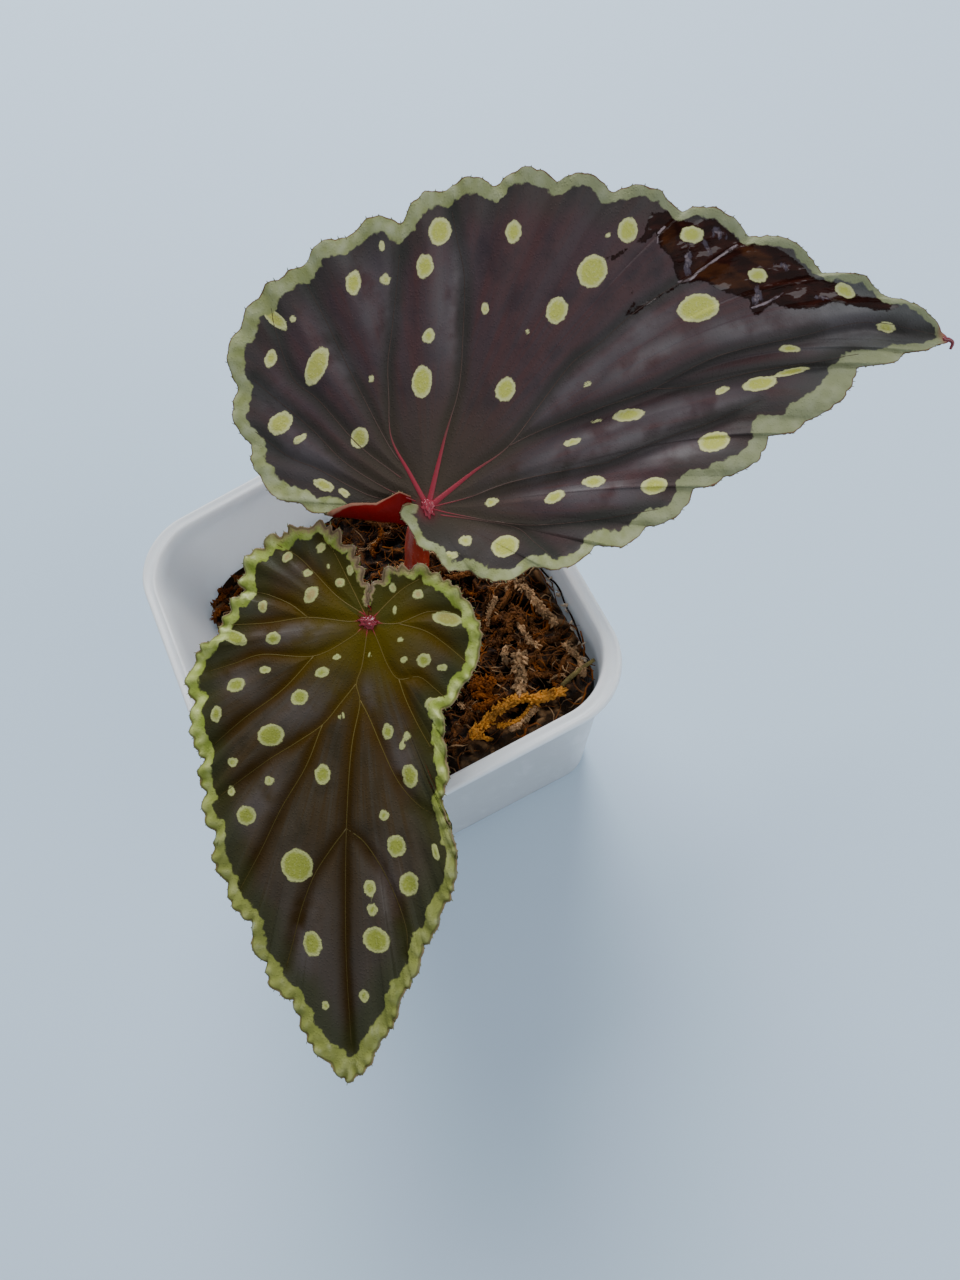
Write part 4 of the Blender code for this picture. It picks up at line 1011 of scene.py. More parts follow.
def upper_face(name, look, film, glow_reach):
    """The upper side of a blade."""
    finish = Finish(name, ior=look.ior, coat_roughness=0.36, coat_ior=1.45)
    blend, fade, read, grain = finish.blend, finish.fade, finish.read, finish.grain
    place, spot, core, band, edge, lumps = blade_marks(finish)
    fine = grain(place, 0.4, 2.0)
    cloud = grain(place, 6.0, 3.0)
    ray = finish.node("ShaderNodeCombineXYZ", {"X": read("turn"), "Y": 0.12 * read("hub"), "Z": 0.0})
    rays = grain(ray, 3.4, 3.0)
    net = finish.net(place)
    pebble = fade(finish.cells(place, 0.42), 0.05, 0.5)

    # The panels between the veins, cloudy, with a glow by the stalk and a greyer tip, which on the large
    # leaf is mostly a painted sheen: the pale sky mirrored there
    panel = fade(read("vein") + 1.2 * (cloud - 0.5), 0.15, 2.2)
    base = blend(fade(rays, 0.4, 0.6), look.panel, look.blush)
    base = blend(fade(cloud, 0.45, 0.75) * 0.7, base, look.shade)
    base = blend(net * 0.1, base, look.shade)
    beside = blend(fade(read("hub"), 12.0, 34.0), look.by_vein, look.by_vein_far)
    base = blend(panel, beside, base)
    along = finish.axis(place, "X")
    base = blend(fade(along, *look.tip_fade) * 0.8 * panel, base, look.tip)
    glow = fade(read("hub") + 8.0 * (cloud - 0.5), glow_reach, glow_reach * 0.1)
    base = blend(glow * 0.9, base, look.glow)
    rough = look.roughness + 0.2 * (fine - 0.5)
    # The glossy patches are painted greyer here, a painted sheen for the light they mirror; further on they
    # also drive the coat
    gloss = read("gloss") * fade(cloud, 0.3, 0.6)
    base = blend(gloss * 0.6, base, look.bloom)
    by_band = fade(read("band") + 3.0 * (cloud - 0.5), 4.5, 0.8)
    base = blend(by_band * 0.5, base, look.by_band)
    sheen = look.sheen * panel * (look.even + 1.3 * gloss)
    height = 0.3 * fine - 0.12 * net - 0.5 * pebble
    plain = 1 - finish.math("MAXIMUM", spot, band)
    if film:
        base, rough, height, sheen = wet_film(finish, look, place, fine, base, rough, height, sheen)

    # The spots, then the margin with its frill, then the red by the stalk
    back = fade(along, 2.0, -5.0)
    middle = blend(back * 0.7, look.spot, look.spot_back)
    base = blend(spot, base, blend(core, look.spot_rim, middle))
    base = blend(spot * fade(fine, 0.52, 0.7) * 0.4, base, look.spot_rim)
    # The margin is paler on its lumps: random streaks, and a painted highlight on the crests of its rope
    margin = blend(fade(lumps, -0.6, 0.9), look.band, look.band_pale)
    margin = blend(fade(grain(place, 4.5, 2.0), 0.42, 0.66) * 0.6, margin, look.band_green)
    margin = blend(fade(along, 12.0, 40.0) * 0.7, margin, look.band_far)
    dry = read("frilly") * fade(read("margin") + 1.6 * (fine - 0.5), 1.5, 0.3)
    base = blend(band, base, blend(dry, margin, look.frill))
    curled = read("roll")
    # A painted shadow line between the frill and the rope of the margin, in the colour of the edge
    shadow = fade(read("margin") + 0.12 * lumps, 0.55, 0.32)
    base = blend(shadow * look.nick * (1 - curled), base, look.edge)
    base = blend(edge * (0.85 - 0.85 * curled), base, look.frill)
    finish.put("Base Color", blend(read("red"), base, look.vein_red))
    finish.put("Roughness", rough + 0.1 * (1 - plain))
    crest = band * fade(lumps, 0.15, 0.75)
    finish.put("Coat Weight", sheen * (0.3 + 0.7 * plain) + look.crest * crest)
    finish.relief(height + 0.4 * spot * fine + 0.3 * band * lumps, 0.14, 0.7)
    return finish


def wet_film(finish, look, place, fine, base, rough, height, sheen):
    """The wet, wrinkled film, with its painted reflections and painted highlight lines, laid over what the
    blade has so far.
    """
    blend, fade, read, grain = finish.blend, finish.fade, finish.read, finish.grain
    pool = read("film")
    wobble = 1.5 * (grain(place, 1.1, 4.0, 0.65) - 0.5)
    mask = fade(pool + wobble, 0.12, -0.12)
    sheet = grain(finish.stretched(place, (0.5, 1.6, 1.0)), 2.2, 3.0)
    deep = blend(fade(sheet, 0.36, 0.7), look.wet_dark, look.wet_red)
    amber = fade(read("amber") + 1.2 * wobble, 0.5, -0.5)
    deep = blend(amber * fade(sheet, 0.2, 0.6), deep, look.wet_amber)
    deep = blend(fade(pool + wobble, -0.65, -0.2) * 0.8, deep, look.wet_dark)
    streak = grain(finish.stretched(place, (1.1, 0.6, 1.0)), 0.8, 4.0)
    # Painted reflections: lilac-grey patches on the film where it mirrors the light, left out of its slick
    painted_reflection = fade(read("painted_reflection") + 1.6 * wobble + 2.4 * (streak - 0.5), 0.2, -0.4) * mask
    painted_reflection_tone = blend(fade(streak + 0.4 * (fine - 0.5), 0.45, 0.65), look.wet_crust, look.wet_pale)
    deep = blend(painted_reflection * 0.8, deep, painted_reflection_tone)
    # Painted highlight: pale lines on the film where it catches the light, raised a little as well
    painted_highlight_line = fade(read("painted_highlight_line") + 0.2 * wobble, 0.24, 0.08)
    base = blend(painted_highlight_line * 0.9, blend(mask, base, deep), look.wet_pale)
    slick = mask * (1 - painted_reflection)
    rough = rough * (1 - slick) + 0.12 * slick
    height = height * (1 - 0.9 * slick) + 1.5 * slick * sheet + 0.8 * painted_highlight_line
    sheen = sheen * (1 - slick) + slick * fade(sheet, 0.6, 0.64)
    return base, rough, height, sheen


def under_face(name, look):
    """The red underside of a blade, with its pale margin and the spots showing through."""
    finish = Finish(name, roughness=0.55, ior=1.15)
    blend, fade = finish.blend, finish.fade
    place, spot, _, band, edge, _ = blade_marks(finish)
    cloud = finish.grain(place, 5.0, 3.0)
    net = finish.net(place)
    curled = finish.read("roll")
    base = blend(fade(cloud, 0.35, 0.7), look.under, look.under_dark)
    base = blend(net * 0.3, base, look.under_vein)
    base = blend(spot * (0.7 - 0.7 * curled), base, look.under_spot)
    base = blend(band * (1 - curled), base, look.band)
    base = blend(edge * (0.7 - 0.7 * curled), base, look.edge)
    base = blend(curled, base, look.fold)
    cream = fade(finish.read("margin") + 0.5 * (cloud - 0.5), 0.3, 0.16)
    finish.put("Base Color", blend(curled * cream * 0.6, base, look.rolled_rim))
    finish.relief(0.6 * net + 0.4 * finish.grain(place, 0.5, 2.0), 0.15, 0.6)
    return finish


def vein_face(name, near, far, fades=(5.0, 30.0), rough=0.4, ior=1.25):
    """A vein: one colour by the stalk, turning to another, which darkens further out."""
    finish = Finish(name, roughness=rough, ior=ior)
    blend, fade = finish.blend, finish.fade
    away = fade(finish.read("hub"), *fades)
    mottle = finish.grain(finish.object_mm(), 0.5, 2.0)
    base = blend(away, near, far)
    base = blend(fade(finish.read("hub"), 14.0, 34.0) * 0.8, base, times(far, 0.4))
    finish.put("Base Color", blend(fade(mottle, 0.5, 0.8) * 0.3, base, times(far, 1.5)))
    finish.relief(mottle, 0.08, 0.5)
    return finish


def grow_leaf(name, leaf, look):
    """The whole blade: its two faces, the veins on both, and the fine teeth of its margin."""
    edge, places, marks, flat = shape_blade(leaf)
    blade, order = warped_grid(name, places)
    spots = flat.reshape(-1, 2)
    marks["spot"] = distance_to_spots(spots, leaf.spots)
    marks["red"] = 0.8 * np.exp(-(marks["hub"] / leaf.red_reach) ** 2)
    # Glossy patches: they drive the coat and a painted sheen
    marks["gloss"] = patches(spots, leaf.gloss)
    if leaf.film:
        tip = smooth_step(flat[..., 0], leaf.length - 1.8, leaf.length - 0.6)
        marks["red"] = np.maximum(marks["red"], 0.6 * tip)
        marks["film"] = np.min([distance_to_pool(spots, outline) for outline in leaf.film], axis=0)
        # The pale lines and lilac-grey patches of the wet film: painted highlights and painted reflections
        marks["painted_highlight_line"] = np.min([distance_to_line(spots, line) for line in leaf.painted_highlight_lines], axis=0)
        marks["painted_reflection"] = distance_to_spots(spots, leaf.painted_reflections)
        marks["amber"] = distance_to_spots(spots, leaf.ambers)
    for key, values in marks.items():
        mark(blade, key, values.reshape(flat.shape[:2])[order])
    flat_mm = np.concatenate([flat, np.zeros(flat.shape[:2] + (1,))], 2)
    mark(blade, "blade_mm", flat_mm[order], "FLOAT_VECTOR")
    edit(blade)
    bpy.ops.mesh.remove_doubles(threshold=BLADE_MERGE)
    leave()
    normals = np.empty(3 * len(blade.data.polygons))
    blade.data.polygons.foreach_get("normal", normals)
    if normals.reshape(-1, 3).sum(0) @ leaf.up < 0:
        edit(blade)
        bpy.ops.mesh.flip_normals()
        leave()
    give(blade, upper_face(name + "_upper", look, bool(leaf.film), leaf.glow_reach),
         under_face(name + "_under", look))
    apply_modifier(blade, "thickness", "SOLIDIFY", thickness=BLADE_THICKNESS * MM, offset=-1.0,
                   material_offset=1, material_offset_rim=0)
    bpy.ops.object.shade_smooth()

    red_ones = [key for key in leaf.veins if key in RED_VEINS]
    others = [key for key in leaf.veins if key not in RED_VEINS]
    upper_vein = vein_face(name + "_vein", look.vein_red, look.vein, look.vein_fade)
    under_vein = vein_face(name + "_under_vein", look.under_vein, look.under_vein)
    teeth = Finish(name + "_teeth", roughness=0.5)
    teeth.put("Base Color", teeth.blend(teeth.grain(teeth.object_mm(), 1.0), look.edge, look.band))
    knob = vein_face(name + "_knob", look.knob, look.knob, rough=0.2, ior=1.5)
    fitted = [
        (vein_tubes(name, blade, leaf, 1.0, others, RED_VEIN_SHORTER if red_ones else 0.0), upper_vein),
        (vein_tubes(name, blade, leaf, -1.0, list(leaf.veins)), under_vein),
        (margin_teeth(name, leaf, edge, places), teeth),
        (hub_knob(leaf), knob)]
    if red_ones:
        fitted.append((vein_tubes(name, blade, leaf, 1.0, red_ones), upper_vein))
    if leaf.hook:
        u, v, lift = np.array(leaf.hook).T
        path = smooth_path(leaf.place(u, v, leaf.relief(u, v) + lift) / MM, 0.15)
        hook = tubes(name + "_hook", [(path * MM, np.linspace(0.4, 0.22, len(path)))], 8)
        fitted.append((with_hub(hook, leaf), knob))
    for piece, finish in fitted:
        give(piece, finish)
    return join(name, [blade] + [piece for piece, _ in fitted])


def vein_tubes(name, blade, leaf, side, chosen, further=0.0):
    """Thin ridges along the chosen veins, laid on the upper (1) or lower (-1) face of the blade."""
    paths = []
    bpy.context.view_layer.update()
    for vein in chosen:
        flat = smooth_path(leaf.veins[vein], VEIN_STEP)
        start = leaf.place(*flat.T, np.full(len(flat), VEIN_CAST_FROM * side))
        run = run_along(flat)
        points, radii = [], []
        for p, here, along, away in zip(start, flat, run, np.hypot(*flat.T)):
            down = Vector(leaf.up) * -side
            hit, spot, _, _ = blade.ray_cast(Vector(p), down, distance=VEIN_CAST_FAR * MM)
            if not hit:
                continue
            lifted = (np.array(spot) / MM - leaf.junction) @ leaf.up - leaf.relief(*here)
            if side > 0 and lifted > OVER_BLADE[0] and away > OVER_BLADE[1]:
                continue
            taper = 1 - 0.6 * along / run[-1]
            if side < 0:
                thick = UNDER_VEIN * taper * (0.5 + 0.5 * math.exp(-away / 20.0))
                sunk = UNDER_VEIN_SUNK
            else:
                thick = leaf.vein_size * taper
                sunk = VEIN_SUNK
            if side > 0 and vein in RED_VEINS:
                swell = 0.75 + 0.25 * math.exp(-away / 3.0)
                thick += RED_VEIN_MORE * float(1 - smooth_step(away, 3.0, 15.0)) * swell
            points.append(np.array(spot) - leaf.up * side * thick * sunk * MM)
            radii.append(thick)
        if len(points) > 2:
            paths.append((points, radii))
    return with_hub(tubes(name + "_veins", paths), leaf, further)


def hub_knob(leaf):
    """The knot where the veins meet over the stalk: a low ribbed button."""
    deselect()
    bpy.ops.mesh.primitive_uv_sphere_add(segments=48, ring_count=24, radius=1.0)
    knob = bpy.context.object
    centre = np.array(leaf.junction) + leaf.up * leaf.relief(0.0, 0.0)
    for vert in knob.data.vertices:
        x, y, z = vert.co
        turn = math.atan2(y, x)
        rib = 1 + 0.1 * math.cos(KNOB_RIBS * turn + 4 * lump(x, y, 2.0)) * math.hypot(x, y)
        rough = 1 + 0.4 * lump(2.2 * x, 2.2 * y, 2.2 * z)
        side = leaf.knob * rib * rough
        place = centre + leaf.along * 0.8 * x * side + leaf.across * 1.15 * y * side
        place = place + leaf.up * z * 0.5 * leaf.knob * rough
        vert.co = Vector(place * MM)
    seal(knob)
    put_in_order(knob)
    return with_hub(knob, leaf)


def with_hub(piece, leaf, further=0.0):
    """Store how far each point is from the top of the leaf's stalk, and some mm further."""
    places = np.empty(3 * len(piece.data.vertices))
    piece.data.vertices.foreach_get("co", places)
    away = np.linalg.norm(places.reshape(-1, 3) / MM - np.array(leaf.junction), axis=1)
    mark(piece, "hub", away + further)
    return piece


def margin_teeth(name, leaf, edge, places):
    """The fine points that fringe the margin, a seeded draw along it."""
    rng = random.Random(name)
    paths = []
    run = 0
    for column in range(4, len(edge.run) - 4):
        if edge.run[column] < run:
            continue
        run = edge.run[column] + leaf.teeth * rng.uniform(*TOOTH_GAPS)
        tip = places[column, 0]
        out = tip - places[column, 4]
        out = out / max(1e-9, np.linalg.norm(out))
        out = out + 0.5 * np.array([rng.uniform(-1, 1) for _ in range(3)])
        size = rng.uniform(*TOOTH_LENGTH) * MM
        points = [tip - out * 0.2 * MM, tip + out * size * 0.5, tip + out * size]
        paths.append((points, TOOTH_RADII))
    return with_hub(tubes(name + "_teeth", paths, 4), leaf)


def square_ring(half, corner, count):
    """Points evenly spaced round a square with round corners."""
    flat = half - corner
    quarter = 2 * flat + math.pi / 2 * corner
    ring = []
    for i in range(count):
        run = 4 * quarter * i / count
        turn, run = divmod(run, quarter)
        if run < 2 * flat:
            x, y = half, run - flat
        else:
            a = (run - 2 * flat) / corner
            x, y = flat + corner * math.cos(a), flat + corner * math.sin(a)
        c, s = math.cos(turn * math.pi / 2), math.sin(turn * math.pi / 2)
        ring.append((c * x - s * y, s * x + c * y))
    return np.array(ring)


def pot_half(z):
    """Half the outer width of the wall at a height, and its corner radius."""
    share = z / POT_HEIGHT
    top = LIP_HALF - LIP_WIDTH + WALL
    corner = LIP_CORNER - LIP_WIDTH + WALL
    return BASE_HALF + (top - BASE_HALF) * share, BASE_CORNER + (corner - BASE_CORNER) * share


def moss_level(x, y):
    """The slant that the top of the moss lies about."""
    return MOSS_TOP + MOSS_RISE[0] * x + MOSS_RISE[1] * y


def moss_height(x, y):
    """The uneven top of the moss at a point on plan."""
    height = moss_level(x, y)
    for rise, size, layer in (MOSS_LUMP, MOSS_GRAIN):
        height += rise * noise.noise(Vector((x, y, layer)) / size)
    return height


def moss_crumb(x, y):
    """The relief on the lumps: ridges of packed strands with pits between them, and crumbs."""
    rise, size, layer = MOSS_RIDGE
    bend = 1.6 * noise.noise(Vector((x, y, layer + 9.0)) / 2.2)
    ridge = 1.0 - 2.6 * abs(noise.noise(Vector((x + bend, y - bend, layer)) / size))
    high, grain, depth = MOSS_CRUMB
    crumb = noise.fractal(Vector((x, y, depth)) / grain, 0.7, 2.1, 4)
    return rise * (ridge - 0.62) + high * (crumb - 0.15)


def mould_moss():
    """A grid wrapped round the plug of moss: up its sides, then in over its top."""
    clear = WALL + GAP
    low = FLOOR_THICKNESS + GAP
    rows = []
    rises = [np.full(MOSS_COLUMNS, -0.5)] * (MOSS_SIDE_ROWS + 1)
    for k in range(MOSS_SIDE_ROWS):
        z = low + (MOSS_TOP - MOSS_SIDE_BELOW - low) * k / (MOSS_SIDE_ROWS - 1)
        half, corner = pot_half(z)
        inset = clear + (MOSS_FOOT_INSET if k == 0 else 0.0)
        ring = square_ring(half - inset, corner - inset, MOSS_COLUMNS)
        rows.append(np.c_[ring, np.full(len(ring), z)])
    half, corner = (size - clear - MOSS_EDGE_INSET for size in pot_half(MOSS_TOP - MOSS_EDGE_BELOW))
    rim = square_ring(half, corner, MOSS_COLUMNS)
    for k in range(MOSS_TOP_ROWS):
        ring = rim * (1 - (k / (MOSS_TOP_ROWS - 1)) ** 1.15)
        edge = -MOSS_EDGE_DROP * math.exp(-k / 1.5)
        rises.append([moss_crumb(x, y) for x, y in ring])
        rows.append([(x, y, moss_height(x, y) + crumb + edge) for (x, y), crumb in zip(ring, rises[-1])])
    floor = np.c_[rows[0][:, :2] * 0.0, rows[0][:, 2]]
    places = np.array([floor] + [np.array(row) for row in rows]) * MM
    places = np.concatenate([places, places[:, :1]], 1).transpose(1, 0, 2)
    moss, order = warped_grid("moss_bed", places)
    rises = np.array(rises)
    mark(moss, "rise", np.concatenate([rises, rises[:, :1]], 1).T[order])
    seal(moss, MERGE)
    return moss


def in_pot(x, y, z, clear):
    """Whether a point is that clear of the inside of the wall."""
    half, corner = pot_half(z)
    half, corner = half - WALL - clear, corner - WALL - clear
    qx, qy = abs(x) - (half - corner), abs(y) - (half - corner)
    return math.hypot(max(qx, 0.0), max(qy, 0.0)) + min(max(qx, qy), 0.0) < corner


def fibres(name, seed, count, length, thickness, lift):
    """Loose curling fibres of moss, a seeded draw over its top."""
    rng = random.Random(seed)
    half = pot_half(MOSS_TOP)[0]
    paths = []
    while len(paths) < count:
        x, y = rng.uniform(-half, half), rng.uniform(-half, half)
        turn, bend = rng.uniform(0, 2 * math.pi), rng.uniform(-0.55, 0.55)
        step = rng.uniform(*length) / 5
        rise = rng.uniform(*lift)
        thick = rng.uniform(*thickness)
        points = []
        for k in range(6):
            arch = (rise + FIBRE_SUNK) * math.sin(math.pi * (k + 0.3) / 5.6)
            points.append((x, y, moss_height(x, y) + moss_crumb(x, y) - FIBRE_SUNK + arch))
            x, y = x + step * math.cos(turn), y + step * math.sin(turn)
            turn += bend + rng.uniform(-0.3, 0.3)
        if all(in_pot(px, py, pz, thick + 0.1) for px, py, pz in points):
            paths.append((np.array(points) * MM, [thick * share for share in FIBRE_PROFILE]))
    return tubes(name, paths, 4)


def loose_routes(seed, count, length, thick):
    """Routes of strands strewn over the moss, a seeded draw."""
    rng = random.Random(seed)
    half = pot_half(MOSS_TOP)[0]
    routes = []
    while len(routes) < count:
        x, y = rng.uniform(-half, half), rng.uniform(-half, half)
        turn, step = rng.uniform(0, 2 * math.pi), rng.uniform(*length) / 4
        size = rng.uniform(*thick)
        plan = []
        for _ in range(5):
            plan.append((x, y))
            x, y = x + step * math.cos(turn), y + step * math.sin(turn)
            turn += rng.uniform(-0.8, 0.8)
        if all(in_pot(px, py, MOSS_TOP, size + 1.0) for px, py in plan):
            routes.append((plan, size, rng.uniform(-0.1, 0.5)))
    return routes


def strands(name, routes, seed):
    """Thick dead strands lying half sunk, knobbly and fringed with short scales."""
    rng = random.Random(seed)
    paths = []
    for plan, thick, lift in routes:
        flat = smooth_path(plan, PATH_STEP)
        last = len(flat) - 1
        spine, radii = [], []
        for k, (x, y) in enumerate(flat):
            sink = -1.0 if k in (0, last) else lift * thick
            spine.append((x, y, moss_height(x, y) + 0.7 * max(-0.6, moss_crumb(x, y)) + sink))
            radii.append(thick * rng.uniform(0.35, 0.8))
        spine = np.array(spine)
        spine[1:-1, 2] = 0.5 * spine[1:-1, 2] + 0.25 * (spine[:-2, 2] + spine[2:, 2])
        paths.append((spine * MM, radii))
        for k in range(1, last):
            along = spine[k + 1] - spine[k - 1]
            along /= np.linalg.norm(along)
            for _ in range(SCALES_PER_STEP):
                turn, tilt = rng.uniform(0, 2 * math.pi), rng.uniform(-0.1, 1.3)
                level = math.cos(tilt)
                out = np.array((math.cos(turn) * level, math.sin(turn) * level, math.sin(tilt)))
                foot = spine[k] + out * thick * 0.45
                size = rng.uniform(0.35, 0.8) * thick
                lean = rng.uniform(-0.2, 0.6)
                mid = foot + (0.6 * out + lean * along) * size
                tip = mid + (0.3 * out + 1.2 * lean * along) * size
                tip = tip + np.array((rng.uniform(-0.25, 0.25), rng.uniform(-0.25, 0.25), 0.0))
                paths.append((np.array([foot, mid, tip]) * MM, [0.22 * thick + 0.05, 0.17 * thick, 0.03]))
    return tubes(name, paths, 4)


def wall_litter():
    """The twig, the dark root and the pale crumbs by the wall, each a few tubes."""
    spine = smooth_path([(x, y, moss_level(x, y) + rise) for x, y, rise in TWIG], PATH_STEP)
    twig = tubes("twig", [(spine * MM, np.linspace(*TWIG_RADII, len(spine)))], 8)
    plan = smooth_path(WALL_ROOT, PATH_STEP)
    spine = [(x, y, moss_height(x, y) + 0.7 + 0.4 * math.sin(0.9 * k)) for k, (x, y) in enumerate(plan)]
    root = tubes("wall_root", [(np.array(spine) * MM, np.full(len(spine), WALL_ROOT_RADIUS))])
    rng = random.Random(CRUMB_SEED)
    crumbs = []
    for x, y in WALL_CRUMBS:
        foot = np.array((x, y, moss_height(x, y) + 0.5))
        for _ in range(4):
            spot = foot + [rng.uniform(-0.6, 0.3), rng.uniform(-0.8, 0.8), rng.uniform(-0.3, 0.4)]
            turn = rng.uniform(0, math.pi)
            level = CRUMB_HALF * math.cos(turn), CRUMB_HALF * math.sin(turn)
            half = np.array((*level, rng.uniform(-0.2, 0.2)))
            radii = [0.08, rng.uniform(0.16, 0.28), 0.06]
            crumbs.append((np.array([spot - half, spot, spot + half]) * MM, radii))
    return twig, root, tubes("wall_crumbs", crumbs)


def moss_finish(name, dark, light, rough=0.75, rim=None):
    """Damp fibrous moss between two browns. The bed has a rim painted paler by the wall, standing in for
    the light that comes in through the frosted pot, and painted shade, near black, in its pits.
    """
    finish = Finish(name, ior=1.25)
    blend, fade = finish.blend, finish.fade
    place = finish.object_mm()
    cloud = finish.grain(place, 2.2, 4.0, 0.65)
    fine = finish.grain(place, 0.35, 3.0)
    base = blend(fade(cloud, 0.36, 0.66), dark, light)
    if rim:
        x, y = (finish.math("ABSOLUTE", finish.axis(place, axis)) for axis in "XY")
        # Painted light: the moss by the wall is paler, for the light that comes in through the frosted pot
        beside = fade(finish.math("MAXIMUM", x, y) + 3.0 * (cloud - 0.5), 25.5, 30.0)
        base = blend(beside * 0.7, base, rim)
        # Painted shade: the pits between the ridges are near black, less so by the wall
        high = fade(finish.read("rise") + 0.8 * (cloud - 0.5), -0.5, 0.5)
        base = blend(finish.math("MAXIMUM", high, beside * 0.22), times(dark, 0.12), base)
    finish.put("Base Color", blend(fade(fine, 0.55, 0.8) * 0.35, base, times(light, 2.2)))
    finish.put("Roughness", rough - 0.45 * fade(cloud, 0.6, 0.4) * fine)
    finish.relief(fine, 0.35, 0.8)
    return finish


def stalk_finish(name, red, pale):
    """A juicy red stalk, streaked along its length."""
    finish = Finish(name, roughness=0.32, subsurface_weight=0.25, subsurface_scale=0.002, coat_weight=0.3)
    place = finish.object_mm()
    streak = finish.grain(finish.stretched(place, (2.2, 2.2, 0.25)), 1.0, 3.0)
    freckle = finish.fade(finish.cells(place, 0.9), 0.22, 0.12)
    base = finish.blend(finish.fade(streak, 0.35, 0.75), red, pale)
    finish.put("Base Color", finish.blend(freckle * 0.3, base, (0.55, 0.28, 0.2)))
    finish.relief(streak, 0.12, 0.6)
    return finish


def stalk(name, points, radii, top):
    """A leaf stalk, swollen where it leaves the rhizome and flared under its blade."""
    path = smooth_path(list(points) + top, STALK_STEP)
    share = np.linspace(0.0, 1.0, len(path))
    girth = radii[0] + (radii[1] - radii[0]) * share ** 0.7
    girth = girth + STALK_FOOT * np.exp(-share / 0.06) + STALK_FLARE * np.exp(-(1 - share) / 0.035)
    girth = girth + np.array([STALK_UNEVEN * lump(k * 0.12, radii[0]) for k in range(len(path))])
    return tubes(name, [(path * MM, girth)], 28)


def shape_rhizome():
    """The knobbly creeping stem, ringed by leaf scars."""
    deselect()
    bpy.ops.mesh.primitive_uv_sphere_add(segments=64, ring_count=90, radius=1.0)
    stem = made("rhizome_stem")
    for vert in stem.data.vertices:
        x, y, z = vert.co.z, vert.co.x, vert.co.y
        ring = math.cos(math.pi * RHIZOME_SCARS * x)
        scar = RHIZOME_SCAR * ring - RHIZOME_GROOVE * max(0.0, ring) ** 12
        knob = RHIZOME_KNOB * lump(3 * x, 2 * y, 2 * z)
        bark = RHIZOME_BARK * noise.fractal(Vector((14 * x, 5 * y, 5 * z)), 0.8, 2.0, 3)
        girth = RHIZOME_RADIUS + scar + knob + bark
        across = math.hypot(y, z)
        blunt = max(0.0, 1 - abs(x) ** RHIZOME_BLUNTNESS) ** 0.5 / across if across > 1e-4 else 0.0
        shift = Vector((x * RHIZOME_HALF_LENGTH, y * girth * blunt, z * girth * blunt))
        vert.co = (Vector(RHIZOME_CENTRE) + shift) * MM
    seal(stem)
    put_in_order(stem)
    return stem


def mould_pot():
    """A rounded square drawn up into a wall, over the lip, and down the inside to the floor."""
    deselect()
    bpy.ops.mesh.primitive_plane_add(size=2 * (BASE_HALF - BASE_ROUND) * MM, location=(0, 0, 0))
    pot = made("pot_shell")
    edit(pot)
    bpy.ops.mesh.bevel(affect="VERTICES", offset=(BASE_CORNER - BASE_ROUND) * MM,
                       segments=CORNER_SEGMENTS, profile=0.5)
    under, top = POT_HEIGHT - LIP_DEPTH, POT_HEIGHT
    section = [(0.25, pot_half(0.25)[0] - 0.3), (0.9, pot_half(0.9)[0])]
    section += [(z, pot_half(z)[0]) for z in OUTER_LEVELS]
    section += [(under - 0.7, pot_half(under)[0] + 0.05)]
    section += [(under + up, LIP_HALF - back) for up, back in LIP_UNDER]
    section += [(top - down, LIP_HALF - back) for down, back in LIP_OVER]
    section += [(top - down, LIP_HALF - LIP_WIDTH + out) for down, out in LIP_INSIDE]
    section += [(z, pot_half(z)[0] - WALL) for z in INNER_LEVELS]
    section += [(1.6, pot_half(1.6)[0] - WALL - 0.4)]
    section += [(FLOOR_THICKNESS, pot_half(FLOOR_THICKNESS)[0] - WALL - 1.0)]
    z_now, half_now = 0.0, BASE_HALF - BASE_ROUND
    for z, half in section:
        bpy.ops.mesh.extrude_region_move(TRANSFORM_OT_translate={"value": (0.0, 0.0, (z - z_now) * MM)})
        scale = half / half_now
        bpy.ops.transform.resize(value=(scale, scale, 1.0), center_override=(0.0, 0.0, z * MM))
        z_now, half_now = z, half
    bpy.ops.mesh.select_all(action="SELECT")
    bpy.ops.mesh.normals_make_consistent(inside=False)
    leave()
    put_in_order(pot)
    holes = []
    aside = DRAIN_FROM_CENTRE * MM
    for place in ((-aside, -aside, 0.0), (-aside, aside, 0.0), (aside, -aside, 0.0), (aside, aside, 0.0)):
        bpy.ops.mesh.primitive_cylinder_add(vertices=40, radius=DRAIN_RADIUS * MM, depth=6 * MM,
                                            location=place)
        holes.append(bpy.context.object)
    punch = join("drain_punch", holes)
    apply_modifier(pot, "drain_holes", "BOOLEAN", operation="DIFFERENCE", solver="EXACT", object=punch)
    bpy.data.objects.remove(punch)
    bpy.ops.object.shade_smooth_by_angle(angle=math.radians(50))
    return pot


